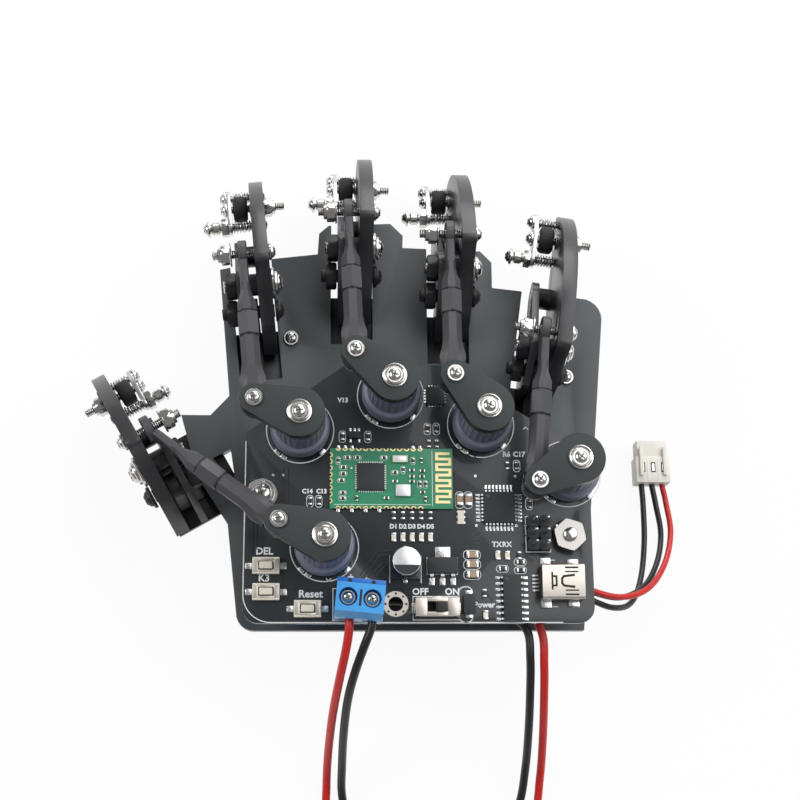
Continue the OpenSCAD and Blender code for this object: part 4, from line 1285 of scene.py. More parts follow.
    def tyred_roller(self) -> None:
        """Build the roller: bright hub with a rubber tyre."""
        solid = Solid(f"{self.digit.label}_tyred_roller")
        low, high = self.roller
        wide, r, h = high - low, self.roller_r, self.hub_r
        place = self.base @ across_pin(low, self.axle)
        tyre = [(h, 0.12), (r - 0.75, 0.05), (r - 0.25, 0.3), (r, 0.85), (r, wide - 0.85), (r - 0.25, wide - 0.3),
                (r - 0.75, wide - 0.05), (h, wide - 0.12)]
        solid.lathe(tyre, TYRE, place, 40)
        solid.lathe([(1.05, 0), (h - 0.15, 0), (h + 0.05, 0.2),
                     (h + 0.05, wide - 0.2), (h - 0.15, wide), (1.05, wide)],
                    STEEL, place, 32)
        solid.finish(f"{self.digit.label}_roller", f"{self.digit.label}_roller")

    def build(self) -> None:
        """Build the whole finger unit."""
        self.plates()
        solid = Solid(f"{self.digit.label}_bolts_and_springs")
        self.bolts(solid)
        self.clamp(solid)
        self.springs(solid)
        solid.finish(f"{self.digit.label}_finger", f"{self.digit.label}_hardware")
        self.tyred_roller()


# ---- circuit board


def ribbon(
    solid: Solid, points: Sequence[Point], width: float, low: float, high: float, finish: Finish,
    closed: bool = False, place: Matrix = UNIT,
) -> None:
    """Lay a flat line of a width along points, such as a printed line or a trace.

    Args:
        solid: the piece it joins.
        points: points (x, y) along its middle, in millimetres.
        width: its width.
        low: height of its lower face.
        high: height of its upper face.
        finish: its finish.
        closed: whether it runs back to its first point.
        place: matrix to the row frame.
    """
    count = len(points)
    rings = []
    for i, (x, y) in enumerate(points):
        before = points[i - 1] if i or closed else (x, y)
        after = points[(i + 1) % count] if i < count - 1 or closed else (x, y)
        first = Vector((x - before[0], y - before[1]))
        last = Vector((after[0] - x, after[1] - y))
        way = (first.normalized() + last.normalized()).normalized()
        stretch = 1 / max(0.5, way.dot(last.normalized() if last.length else first.normalized()))
        off = Vector((-way.y, way.x, 0)) * width / 2 * stretch
        mid = Vector((x, y, 0))
        lift, drop = Vector((0, 0, high)), Vector((0, 0, low))
        rings.append([mid + off + drop, mid - off + drop, mid - off + lift, mid + off + lift])
    solid.loft(rings, finish, place, smooth=False, closed=closed)


def lettering(solid: Solid, words: str, spot: Point, height: float, finish: Finish, z: float) -> None:
    """Print a short word at a place on the board.

    Args:
        solid: the piece it joins.
        words: the word.
        spot: its middle, in millimetres.
        height: height of its capitals.
        finish: its finish.
        z: height of the surface it is printed on.
    """
    curve = bpy.data.curves.new("word", "FONT")
    curve.body = words
    curve.size = height / 0.7
    curve.align_x = "CENTER"
    curve.align_y = "CENTER"
    curve.extrude = 0.015
    curve.offset = 0.06
    curve.resolution_u = 2
    holder = linked("word", curve)
    ready = holder.evaluated_get(bpy.context.evaluated_depsgraph_get())
    mesh = bpy.data.meshes.new_from_object(ready)
    bpy.data.objects.remove(holder)
    bpy.data.curves.remove(curve)
    mesh.materials.clear()
    solid.grown(mesh, finish, at(*spot, z + 0.014))


def at(x: float, y: float, z: float = 0.0, turn: float = 0.0) -> Matrix:
    """Return the matrix to a place on the board, in millimetres, turned by degrees."""
    return UNIT @ move(x, y, z) @ spun(turn)


def slot_outline(long: float, wide: float, x: float, y: float, upright: bool) -> list[Point]:
    """Return a rounded rectangle's outline round a place."""
    r = wide * 0.42
    hx, hy = (wide / 2, long / 2) if upright else (long / 2, wide / 2)
    return [(x + cx, y + cy) for cx, cy in rounded(hx - r, hy - r, r, 22.5)]


@dataclass(frozen=True)
class ChipPart:
    """A small two-ended part: its body and its two plated ends, in millimetres."""

    long: float = 1.7
    wide: float = 0.85
    tall: float = 0.5

    def body(self, solid: Solid, finish: Finish) -> None:
        """Build the body between the ends."""
        solid.block((self.long * 0.6, self.wide, self.tall), (0, 0, self.tall / 2), finish, bevel=0.05)

    def set_on(self, solid: Solid, finish: Finish, places: Sequence[Matrix]) -> None:
        """Set the part at each place, in a finish of its own, with soldered ends."""
        set_copies(solid, self.body, finish, places)
        set_copies(solid, self.ends, SOLDER, places)

    def ends(self, solid: Solid, finish: Finish) -> None:
        """Build the plated ends on their fillets of solder."""
        for side in (-1, 1):
            solid.block(
                (self.long * 0.24, self.wide * 1.04, self.tall * 1.06),
                (side * self.long * 0.39, 0, self.tall * 0.53), finish, bevel=0.07,
            )


@dataclass(frozen=True)
class GullLeg:
    """A chip's bent leg, pointing along X from the body, in millimetres."""

    reach: float
    wide: float
    height: float

    def body(self, solid: Solid, finish: Finish) -> None:
        """Bend the leg: out of the body, down, and flat on its pad."""
        r, h, t = self.reach, self.height, 0.16
        line = [(0, h), (r * 0.32, h), (r * 0.5, h * 0.5), (r * 0.6, 0.1), (r, 0.08)]
        upper = [(x, z + t) for x, z in line]
        outline = [*line, *reversed(upper)]
        stand = Matrix(((1, 0, 0, 0), (0, 0, -1, 0), (0, 1, 0, 0), (0, 0, 0, 1)))
        solid.prism(outline, -self.wide / 2, self.wide / 2, finish, stand)


@dataclass
class Board:
    """The circuit board with its print, traces and pads."""

    top: float = 16.6
    half_w: float = 38.0
    low_y: float = -28.8
    ring_r: float = 7.4
    print_t: float = 0.03
    hole: Point = (-5.1, -24.7)
    line_w: float = 0.2

    def laid(self, solid: Solid, points: Sequence[Point], width: float, finish: Finish, closed: bool = False) -> None:
        """Lay a line of print or trace on the board's top."""
        ribbon(solid, points, width, self.top - 0.01, self.top + self.print_t, finish, closed)

    def traces(self) -> None:
        """Lay the runs of trace that show as dark double lines under the mask."""
        solid = Solid("board_traces")
        runs: list[list[Point]] = [
            [(-29.5, 5), (-29.5, -3)], [(-28.4, 5), (-28.4, -3)], [(-16.6, -4.4), (-16.6, -8)],
            [(-15.8, -4.4), (-15.8, -8)], [(-15, -4.4), (-15, -9)], [(-12.8, -18.6), (-9.2, -13.2), (-4.6, -13.2)],
            [(-12.2, -19.2), (-8.6, -14.1), (-5, -14.1)],
            [(-11.6, -19.8), (-8, -15.7), (-6.6, -15.7)], [(-11, -20.4), (-7.4, -16.4), (-6.4, -16.4)],
            [(3.4, -9.8), (11.6, -9.8), (14, -7.9)], [(3.4, -10.6), (12.4, -10.6), (14.8, -8.6)],
            [(3.4, -11.4), (13.2, -11.4)], [(3.8, -12.2), (2.6, -12.2)], [(8, -12.4), (13.4, -12.4)],
            [(-27, -21.6), (-21, -21.6), (-19.2, -20)], [(-27.6, -24.2), (-29.4, -22.4), (-29.4, -18)],
            [(-35.8, -6), (-35.8, -14)], [(-35, -6), (-35, -13)], [(21.5, -8.8), (23, -9.8), (26, -9.8)],
            [(13.6, -21.6), (15.6, -23.6), (15.6, -24.4)], [(12.4, 6.2), (9.4, 8.6), (8.4, 12)],
            [(13.2, 6.2), (10.4, 8.8), (9.4, 12.4)], [(14, 6.2), (11.4, 9), (10.4, 12.8)],
            [(-2, 14), (2, 14), (3, 17)],
        ]
        for run in runs:
            self.laid(solid, run, 0.24, MASK_TRACE)
        solid.finish("base")

    def print_lines(self) -> None:
        """Lay every printed line, sensor circles and part outlines, and the white edge line that paints the board's
        pale cut edge with its highlight.
        """
        solid = Solid("board_print_lines")
        for digit in Digit:
            hub = digit.hub / MM
            self.laid(solid, circle(self.ring_r, 72, (hub.x, hub.y)), self.line_w, SILK, closed=True)
        # The white line along the left and near edges paints the board's pale cut edge together with the highlight
        # along it.
        edge_x, corner = -self.half_w + 0.16, 6.0
        turn = [polar(corner, a, edge_x + corner, self.low_y + 0.16 + corner) for a in range(180, 271, 9)]
        self.laid(solid, [(edge_x, 11), *turn, (self.half_w - 7, self.low_y + 0.16)], self.line_w, SILK)
        boxes = [
            ((1.7, -18.3), (8.3, -14.7)), ((-18.6, -28.2), (-8, -21.4)), ((-1.4, -28.1), (8.6, -23.1)),
            ((23.4, -13.4), (28.8, -5.6)),
        ]
        for (x0, y0), (x1, y1) in boxes:
            self.laid(solid, [(x0, y0), (x1, y0), (x1, y1), (x0, y1)], self.line_w, SILK, closed=True)
        can_edge = [(-6.4, -20.2), (-6.4, -14.4), (-5, -13), (-1, -13), (0.4, -14.4), (0.4, -20.2)]
        self.laid(solid, can_edge, self.line_w, SILK)
        self.laid(solid, slot_outline(7.6, 3, 10, -24.8, True), self.line_w, SILK, closed=True)
        marks = [[(27.6, -15.2), (29.6, -15.2)], [(33, -15.2), (34.6, -15.2), (34.6, -16.2)]]
        marks += [[(27.8, -25.3), (30, -25.3)], [(33, -25.3), (34.6, -25.3), (34.6, -24.4)]]
        for x, y, rise in ((-19.6, -19.8, 0.6), (24, 14.6, -0.6), (-26, 21, -0.6)):
            marks.append([(x - 0.5, y + rise), (x, y), (x + 0.6, y + rise)])
        for mark in marks:
            self.laid(solid, mark, self.line_w, SILK)
        words = (
            ("DEL", -33.4, -13.4, 1.5), ("K3", -33.4, -19.2, 1.5), ("Reset", -23.4, -22.6, 1.6),
            ("C14", -24.3, -0.2, 0.95), ("C13", -21.2, -0.2, 0.95), ("OFF", 0.2, -22.1, 1.4),
            ("ON", 7.1, -22.1, 1.4), ("Power", 14, -24.9, 1.2),
            ("TX", 17, -11.8, 1.1), ("RX", 19.2, -11.8, 1.1), ("D1", -5.5, -7.9, 0.95), ("D2", -3.5, -7.9, 0.95),
            ("D3", -1.5, -7.9, 0.95), ("D4", 0.5, -7.9, 0.95), ("D5", 2.5, -7.9, 0.95), ("+", -14.8, -19, 1.6),
            ("-", -11.2, -19, 1.9), ("R6", 19.6, 8.3, 1.1), ("C17", 22.4, 8.3, 1.1), ("V13", -16.6, 20.4, 1.0),
        )
        for word, x, y, height in words:
            lettering(solid, word, (x, y), height, SILK, self.top)
        solid.finish("base")

    def pads(self) -> None:
        """Set the plated pads, the mounting hole's ring and its ring of vias."""
        solid = Solid("board_pads")
        set_copies(solid, Washer(2.75, 1.6, 0.04).body, SHELL, [at(*self.hole, self.top)])
        vias = [at(*polar(2.25, 45 * k, *self.hole), self.top + 0.035) for k in range(8)]
        # Dark discs paint the shade inside the via holes.
        set_copies(solid, Washer(0.25, 0.02, 0.02).body, SHADE_AND_BLACK_PLASTIC, vias)
        tabs = []
        for digit in Digit:
            hub = digit.hub / MM
            tabs += [at(*polar(6.9, a, hub.x, hub.y), self.top, a) for a in (225, 240, 315)]
        blocks(solid, (0.9, 1.5, 0.35), (0, 0, 0.17), SOLDER, tabs, 0.12)
        rings = [at(x, y, self.top) for x in (23.4, 21.4, -29.6, -31.8, 12.6, 30.4) for y in (-7.6, 3.4)]
        set_copies(solid, Washer(0.3, 0.1, 0.03).body, SOLDER, rings)
        solid.finish("base")

    def build(self) -> None:
        """Build the board with all that is laid on it."""
        dressed_copy("circuit_board", MASK_BLACK, MASK_TRACE, Vector((0, 0, 1)), "base", bevel=0.12 * MM)
        self.traces()
        self.print_lines()
        self.pads()


@dataclass
class RadioModule:
    """The green radio board with its aerial, chip, crystals and plated edge holes."""

    corner: Point = (-19.4, -4.1)
    wide: float = 26.9
    deep: float = 13.4
    low: float = 16.62
    high: float = 17.42
    pitch: float = 1.5
    notch_r: float = 0.34
    row: int = 13

    def edge_holes(self) -> list[Triple]:
        """Return each half hole: its place (x, y) and the way that it opens, in degrees."""
        x0, y0 = self.corner
        rows = [(x0 + 1.8 + self.pitch * i, y0, -90.0) for i in range(self.row)]
        rows += [(x0 + 1.8 + self.pitch * i, y0 + self.deep, 90.0) for i in reversed(range(self.row))]
        rows += [(x0, y0 + 11.9 - 1.46 * i, 180.0) for i in range(8)]
        return rows

    def outline(self) -> list[Point]:
        """Return the board's outline with its half holes."""
        x0, y0 = self.corner
        x1, y1 = x0 + self.wide, y0 + self.deep
        path: list[Point] = [(x0, y0)]
        for i, (x, y, way) in enumerate(self.edge_holes()):
            if i == self.row:
                path += [(x1, y0), (x1, y1)]
            if i == 2 * self.row:
                path.append((x0, y1))
            path += [polar(self.notch_r, way - 90 - 45 * k, x, y) for k in range(5)]
        return path

    def plating(self, solid: Solid, finish: Finish) -> None:
        """Build one plated half ring that opens along X."""
        out = [polar(0.6, a) for a in range(90, 271, 30)]
        inner = [polar(0.32, a) for a in range(270, 89, -30)]
        solid.prism([*out, *inner], self.low - 0.01, self.high + 0.03, finish)

    def chip(self, solid: Solid) -> None:
        """Set the radio chip with its row of pads on every side."""
        mid = at(-10.5, 2.9, self.high)
        solid.block((6.0, 6.0, 0.85), (0, 0, 0.43), CHIP_RESIN, mid, bevel=0.08)
        pads = [mid @ spun(90 * side) @ move(3.15, 0.5 * k, 0) for side in range(4) for k in range(-5, 6)]
        blocks(solid, (0.55, 0.26, 0.1), (0, 0, 0.04), TIN, pads)

    def parts(self, solid: Solid) -> None:
        """Set the crystals and the small two-ended parts in their printed frames."""
        solid.block((3.3, 1.5, 0.9), (0, 0, 0.45), CREAM, at(-4.05, 6.85, self.high), bevel=0.12)
        solid.block((2.4, 1.0, 0.05), (0, 0, 0.9), CAN_SILVER, at(-4.05, 6.85, self.high), bevel=0.02)
        solid.block((3.2, 2.6, 0.8), (0, 0, 0.4), CAN_SILVER, at(-3.45, -0.15, self.high), bevel=0.15)
        flat = (
            (-16.5, 5), (-16.5, 3.6), (-16.9, 2.1), (-16.6, -0.7), (-16.6, -1.9), (-15.6, 7.2), (-13.4, 7.2),
            (-7.6, 7.2), (-5.2, 3.9), (-5.2, 1.9), (-1.5, 4.4), (0.8, 4.3), (-1.5, 3), (0.7, 3), (-1.5, 1.9),
            (0.8, -0.5), (-7.1, -1.8),
        )
        upright = ((-17.6, 6.5), (-3.4, 4.5), (0.2, 1.3), (1.5, 1.3),
                   (-1.2, 6.5), (1.4, -2), (-13.6, -1.9), (0.6, 6.6))
        places = [at(x, y, self.high) for x, y in flat] + [at(x, y, self.high, 90) for x, y in upright]
        ChipPart(1.15, 0.6, 0.4).set_on(solid, RESISTOR_BODY, places)
        for x, y in (*flat[:9], *upright[:5]):
            frame_line = slot_outline(1.7, 0.95, x, y, (x, y) in upright)
            ribbon(solid, frame_line, 0.09, self.high - 0.01, self.high + 0.02, SILK, True)

    def build(self) -> None:
        """Build the radio board."""
        solid = Solid("radio_board")
        solid.prism(self.outline(), self.low, self.high, MASK_GREEN, UNIT)
        (x0, y0), top = self.corner, self.high
        bars = [(x0 + (23.4 if (k // 2 + k) % 2 else 26.3), y0 + 1.5 + 1.2 * (k // 2)) for k in range(20)]
        ribbon(solid, bars, 0.6, top - 0.01, top + 0.04, GOLD)
        ribbon(solid, [(x0 + 22.4, y0 + 0.6), (x0 + 22.4, y0 + self.deep - 0.5)], 0.12, top - 0.01, top + 0.02, SILK)
        ribbon(solid, [(x0 + 0.9, y0 + 0.9), (x0 + 22, y0 + 0.9)], 0.1, top - 0.01, top + 0.02, SILK)
        for dx, dy, length in ((2.2, 2.6, 3.2), (2.8, 9.6, 4.5), (11.8, 3.2, 3.4), (12.2, 9.4, 2.6), (16.4, 2.0, 3.0)):
            run = [(x0 + dx, y0 + dy), (x0 + dx + length * 0.6, y0 + dy), (x0 + dx + length, y0 + dy + length * 0.4)]
            ribbon(solid, run, 0.2, top - 0.01, top + 0.015, MASK_GREEN_TRACE)
        holes = [at(x, y, 0, way) for x, y, way in self.edge_holes()]
        set_copies(solid, self.plating, GOLD, holes)
        blobs = [holes[i] @ move(0.35, 0, 0) for i in (0, 2, 4, 6, 13, 14, 23, 24, 25)]
        blocks(solid, (0.9, 0.8, 0.5), (0, 0, self.low + 0.25), SOLDER, blobs, 0.2)
        self.chip(solid)
        self.parts(solid)
        dot = [(0.25, top - 0.01), (0.25, top + 0.02), (0.0, top + 0.02)]
        solid.lathe(dot, SILK, UNIT @ move(-14.7, 4.9, 0), steps=12)
        solid.finish("base", "radio_module")


@dataclass
class Chips:
    """The processor, the serial chip and the sensor driver, with all their legs."""


    def legged(
        self, solid: Solid, mid: Matrix, half: Point, pins: int, pitch: float, leg: GullLeg, sides: Sequence[int],
    ) -> None:
        """Set the legs of a chip along its sides.

        Args:
            solid: the piece they join.
            mid: matrix to the chip's middle.
            half: half of its body, along x and y.
            pins: legs on a side.
            pitch: distance between legs.
            leg: the leg.
            sides: quarter turns from X of the sides that have legs.
        """
        spots = [
            mid @ spun(90 * side)
            @ move(half[side % 2], pitch * (k - (pins - 1) / 2), 0)
            for side in sides for k in range(pins)
        ]
        set_copies(solid, leg.body, TIN, spots)
        pads = [spot @ move(leg.reach * 0.92, 0, -0.02) for spot in spots]
        blocks(solid, (leg.reach * 0.8, leg.wide * 1.35, 0.1), (0, 0, 0.05), SOLDER, pads, 0.03)

    def build(self) -> None:
        """Build the three chips."""
        solid = Solid("board_chips")
        main = at(17.6, -3.7, DECK)
        solid.block((6.9, 6.9, 1.0), (0, 0, 0.6), CHIP_RESIN, main, bevel=0.16)
        solid.lathe([(0.42, 1.09), (0.42, 1.11), (0, 1.11)], MASK_BLACK, main @ move(-2.5, 2.5, 0), steps=16)
        self.legged(solid, main, (3.45, 3.45), 8, 0.8, GullLeg(1.25, 0.38, 0.5), (0, 1, 2, 3))
        serial = at(20, -23.5, DECK)
        solid.block((3.9, 9.9, 1.35), (0, 0, 0.8), CHIP_RESIN, serial, bevel=0.2)
        solid.lathe([(0.4, 1.47), (0.4, 1.49), (0, 1.49)], MASK_BLACK, serial @ move(-1.2, 4.1, 0), steps=16)
        self.legged(solid, serial, (1.95, 1.95), 8, 1.27, GullLeg(1.2, 0.42, 0.7), (0, 2))
        driver = at(3.9, 21.5, DECK)
        solid.block((4, 4, 0.88), (0, 0, 0.44), CHIP_RESIN, driver, bevel=0.06)
        pads = [driver @ spun(90 * side) @ move(2.15, 0.65 * k, 0) for side in range(4) for k in range(-2, 3)]
        blocks(solid, (0.6, 0.36, 0.12), (0, 0, 0.05), SOLDER, pads)
        solid.finish("base", "chips")


@dataclass
class SmallParts:
    """The capacitors, resistors, lights, regulator, diode and pin header."""


    def two_ended(self, solid: Solid) -> None:
        """Set every two-ended part, and the printed frames round them."""
        bare = [(-5.5 + 2 * i, -5.5) for i in range(5)]
        bare += [(14, -22.4), (2.4, 10.6), (4.1, 10.6), (19.7, 5.7), (21.8, -14.2)]
        upright = [(-23.7, -2.4), (-21.8, -2.4), (2.1, 14), (4.1, 14)]
        upright += [(-16.7, 12.1), (-11.1, 12.1), (21.8, 5.7), (24.3, -2.8)]
        flat = [(18.1, -17.1), (22, -15.6), (22, -17.4)]
        places = [at(x, y, DECK, 90) for x, y in bare + upright] + [at(x, y, DECK) for x, y in flat]
        ChipPart().set_on(solid, RESISTOR_BODY, places)
        lights = [(-5.5 + 2 * i, -10.3) for i in range(5)] + [(17.1, -14.2), (19.2, -14.2), (14.2, -27.1)]
        spots = [at(x, y, DECK, 90) for x, y in lights]
        ChipPart(1.9, 1.0, 0.6).set_on(solid, CREAM, spots)
        caps = [at(11.5, y, DECK) for y in (-14.1, -16.2, -18.4)] + [at(x, -2, DECK, 90) for x in (9, 10.9)]
        ChipPart(2.5, 1.35, 0.9).set_on(solid, CAPACITOR_BODY, caps)
        frames = [(2.6, 1.45, x, y, True) for x, y in upright] + [(2.6, 1.45, x, y, False) for x, y in flat]
        frames += [(3.7, 2.0, 11.5, y, False) for y in (-14.1, -16.2, -18.4)]
        frames += [(3.7, 1.85, x, -2, True) for x in (9, 10.9)]
        for edge in frames:
            ribbon(solid, slot_outline(*edge), 0.14, DECK - 0.03, DECK + 0.01, SILK, True)
        trio = at(-14, 12.4, DECK)
        solid.block((3.0, 1.5, 0.95), (0, 0, 0.5), CHIP_RESIN, trio, bevel=0.12)
        for x, y in ((-0.95, -1.2), (0.95, -1.2), (-0.95, 1.2), (0, 1.2), (0.95, 1.2)):
            solid.block((0.5, 0.9, 0.3), (x, y, 0.15), SOLDER, trio, bevel=0.06)
        solid.block((1.4, 3.0, 0.7), (0, 0, 0.35), CREAM, at(9.2, -5.9, DECK), bevel=0.1)
        for y in (-7.1, -5.9, -4.7):
            solid.block((1.9, 0.5, 0.5), (0, 0, 0.25), SOLDER, at(9.2, y, DECK), bevel=0.08)

    def capacitor(self, solid: Solid) -> None:
        """Build the round capacitor on its square foot."""
        place = at(-3, -16.2, DECK)
        h, c = 3.3, 1.1
        foot = [(-h, -h), (h, -h), (h, h - c), (h - c, h), (-h + c, h), (-h, h - c)]
        solid.prism(foot, 0, 0.85, MASK_BLACK, place, bevel=0.1)
        can = [(2.9, 0.85), (3.13, 1.05), (3.13, 1.7), (2.85, 1.95),
               (3.13, 2.2), (3.13, 5.3), (3.06, 5.42), (0, 5.42)]
        solid.lathe(can, CAN_SIDE, place, steps=48)
        solid.lathe([(3.04, 5.4), (3.0, 5.5), (2.85, 5.57), (0, 5.57)], CAN_SILVER, place, steps=48)
        cut = [polar(2.9, a) for a in range(196, 345, 7)]
        solid.prism(cut, 5.57, 5.6, MASK_BLACK, place)
        for y in (-3.55, 3.55):
            solid.block((0.9, 0.9, 0.3), (0, y, 0.15), SOLDER, place, bevel=0.1)

    def regulator(self, solid: Solid) -> None:
        """Build the regulator with its tab and three legs."""
        place = at(5.0, -16.5, DECK)
        solid.block((6.5, 3.5, 1.5), (0, 0, 0.85), CHIP_RESIN, place, bevel=0.25)
        solid.block((3.3, 2.5, 0.4), (0.1, 2.85, 0.2), SOLDER, place, bevel=0.12)
        legs = [place @ move(x, -1.75, 0) @ spun(-90) for x in (-2.3, 0, 2.3)]
        set_copies(solid, GullLeg(1.7, 0.8, 0.7).body, TIN, legs)
        for x in (-2.3, 0, 2.3):
            solid.block((1.2, 1.6, 0.25), (x, -3.4, 0.1), SOLDER, place, bevel=0.1)

    def header(self, solid: Solid) -> None:
        """Build the two by three pin header."""
        place = at(26.1, -9.5, DECK)
        for y in (-2.54, 0, 2.54):
            for x in (-1.27, 1.27):
                h, c = 1.26, 0.4
                k = h - c
                cell = [(-h, -k), (-k, -h), (k, -h), (h, -k), (h, k), (k, h), (-k, h), (-h, k)]
                solid.prism(cell, 0, 2.5, CHIP_RESIN, place @ move(x, y, 0), bevel=0.08)
                tip = place @ move(x, y, 0)
                rings = [
                    [Vector((sx * w, sy * w, z)) for sx, sy in ((-1, -1), (1, -1), (1, 1), (-1, 1))]
                    for w, z in ((0.3, 2.3), (0.3, 7.3), (0.16, 7.7))
                ]
                solid.loft(rings, TIN, tip, smooth=False)

    def diode(self, solid: Solid) -> None:
        """Build the power diode."""
        place = at(10.6, -24.8, DECK)
        solid.block((2.6, 4.2, 1.9), (0, 0, 1.15), CHIP_RESIN, place, bevel=0.22)
        for y in (-2.45, 2.45):
            solid.block((1.5, 1.1, 0.5), (0, y, 0.25), SOLDER, place, bevel=0.14)

    def build(self) -> None:
        """Build every small part of the board."""
        solid = Solid("board_small_parts")
        self.two_ended(solid)
        self.capacitor(solid)
        self.regulator(solid)
        self.header(solid)
        self.diode(solid)
        solid.finish("base", "small_components")


def cup(
    solid: Solid, outer: Point, inner: Point, centre: Point, span: Point, floor: float, finish: Finish, place: Matrix,
) -> None:
    """Build a box of sheet that is open at its far end along X.

    Args:
        solid: the piece it joins.
        outer: outer size along y and z, in millimetres.
        inner: inner size along y and z.
        centre: middle of its section (y, z).
        span: its ends along x; the second one is open.
        floor: where the inside ends, along x.
        finish: its finish.
        place: matrix to the row frame.
    """
    def ring(size: Point, x: float, r: float) -> list[Vector]:
        """Return a rounded rectangle's ring of points at x."""
        hy, hz = size[0] / 2 - r, size[1] / 2 - r
        return [Vector((x, centre[0] + y, centre[1] + z)) for y, z in rounded(hy, hz, r, 30)]

    rings = [ring(outer, span[0], 0.5), ring(outer, span[1], 0.5), ring(inner, span[1], 0.35), ring(inner, floor, 0.35)]
    solid.loft(rings, finish, place, smooth=False)


@dataclass
class UsbSocket:
    """The charging and data socket: a folded shell with spring slots, a tongue, pins and solder tabs."""

    corner: Point = (26.2, -24.0)
    long: float = 9.2
    wide: float = 7.6
    tall: float = 3.9

    def slots(self, solid: Solid, place: Matrix) -> None:
        """Paint the T slot and the spring slots on the top of the shell as dark lines of painted shade."""
        low, high = self.tall - 0.02, self.tall + 0.015
        mid = self.wide / 2

        def line(points: Sequence[Point], width: float) -> None:
            """Lay one slot as a dark line of painted shade."""
            ribbon(solid, points, width, low, high, SHADE_AND_BLACK_PLASTIC, place=place)

        line([(2.1, mid - 1.9), (2.1, mid + 1.9)], 0.4)
        line([(2.1, mid + 1.0), (3.0, mid + 1.0), (3.0, mid - 1.0), (2.1, mid - 1.0)], 0.42)
        spring = [(7.0, 1.3), (4.6, 1.0), (4.2, 0.5), (4.2, -0.5), (4.6, -1.0), (7.0, -1.3)]
        line([(x, mid + y) for x, y in spring], 0.5)
        for side in (-1, 1):
            line([(4.9, mid + side * 2.0), (7.8, mid + side * 2.0)], 0.3)
            line([(4.9, mid + side * 2.9), (7.8, mid + side * 2.9)], 0.4)

    def build(self) -> None:
        """Build the socket."""
        solid = Solid("usb_shell")
        place = at(*self.corner, DECK)
        mid = (self.wide / 2, self.tall / 2)
        cup(solid, (self.wide, self.tall), (self.wide - 0.8, self.tall - 0.8), mid, (0, self.long), 2.4, SHELL, place)
        solid.block((self.long - 3.4, 4.6, 0.9), (5.2, mid[0], mid[1]), SHADE_AND_BLACK_PLASTIC, place, bevel=0.08)
        contacts = [place @ move(5.6, mid[0] + 0.8 * k, mid[1] + 0.46) for k in range(-2, 3)]
        blocks(solid, (3.6, 0.35, 0.06), (0, 0, 0), GOLD, contacts)
        solid.block((0.5, self.wide - 1.2, 2.6), (-0.15, mid[0], 1.5), SHADE_AND_BLACK_PLASTIC, place, bevel=0.1)
        pins = [place @ move(-0.2, mid[0] + 0.8 * k, 0) @ Matrix.Rotation(pi, 4, "Z") for k in range(-2, 3)]
        set_copies(solid, GullLeg(1.5, 0.36, 0.5).body, TIN, pins)
        for x, size in ((1.2, (2.3, 1.9, 0.7)), (7.2, (2.4, 1.3, 0.7))):
            for y in (-0.7, self.wide + 0.7):
                solid.block(size, (x, y, 0.3), SOLDER, place, bevel=0.22)
        self.slots(solid, place)
        solid.finish("base", "usb_socket")


@dataclass
class ScrewTerminal:
    """The blue two-way terminal block for the battery's leads."""

    centre: Point = (-13.0, -24.5)
    turn: float = -5.5
    wide: float = 10.2
    deep: float = 8.2
    tall: float = 10.0
    pitch: float = 5.08
    well_r: float = 1.95

    def upper(self, solid: Solid, place: Matrix) -> None:
        """Build the raised middle with its two screw wells."""
        hw, hy, r, low = self.wide / 2, self.deep / 2 - 1.1, self.well_r, self.tall - 3
        for side in (-1, 1):
            path: list[Point] = [(-hw * side, -hy * side), (hw * side, -hy * side), (hw * side, 0)]
            for x in (self.pitch / 2 * side, -self.pitch / 2 * side):
                path += [(x + r * side * cos(a), -r * side * sin(a)) for a in (pi * k / 14 for k in range(15))]
            path.append((-hw * side, 0))
            solid.prism(path, low, self.tall, TERMINAL_BLUE, place)

    def build(self) -> None:
        """Build the terminal block with its screws."""
        solid = Solid("terminal_block")
        place = at(*self.centre, DECK, self.turn)
        front = -self.deep / 2
        base = self.tall - 3
        solid.block((self.wide, self.deep, base), (0, 0, base / 2), TERMINAL_BLUE, place, bevel=0.15)
        # The rear step is painted a darker blue as shade.
        solid.block((self.wide, 1.1, 2.0), (0, -front - 0.55, self.tall - 2.1), TERMINAL_BLUE_SHADE, place, bevel=0.1)
        self.upper(solid, place)
        lip = [(front, self.tall - 3), (front + 1.1, self.tall - 3), (front + 1.1, self.tall - 0.2)]
        solid.prism(lip, -self.wide / 2 + 0.05, self.wide / 2 - 0.05, TERMINAL_BLUE, place @ ACROSS)
        # A dark strip between the two wells paints the shade in the gap there.
        solid.block((0.5, 3.4, 0.05), (0.05, 0, self.tall), SHADE_AND_BLACK_PLASTIC, place)
        # Dark discs paint the shade inside the two small holes on the rear step.
        holes = [place @ move(x, -front - 0.6, self.tall - 1.09) for x in (-2.5, 2.5)]
        set_copies(solid, Washer(0.42, 0.02, 0.03).body, SHADE_AND_BLACK_PLASTIC, holes)
        wells = [place @ move(side * self.pitch / 2, 0, self.tall - 2.4) for side in (-1, 1)]
        # The well floors are painted a darker blue as shade.
        set_copies(solid, Washer(1.96, 0.02, 0.4).body, TERMINAL_BLUE_SHADE, wells)
        screws(solid, PanHead(1.66, 1.7), [well @ move(0, 0, 0.3) for well in wells])
        # Dark squares on the front paint the shade inside the wire openings.
        for side in (-1, 1):
            spot = (side * self.pitch / 2, front + 0.03, 3.4)
            solid.block((3.0, 0.12, 3.0), spot, SHADE_AND_BLACK_PLASTIC, place)
        # The sides are painted a darker blue as shade.
        for side in (-1, 1):
            solid.block((0.14, 2.2, 1.2), (side * self.wide / 2, 0.5, 2.4), TERMINAL_BLUE_SHADE, place, bevel=0.04)
        solid.finish("base", "screw_terminal")


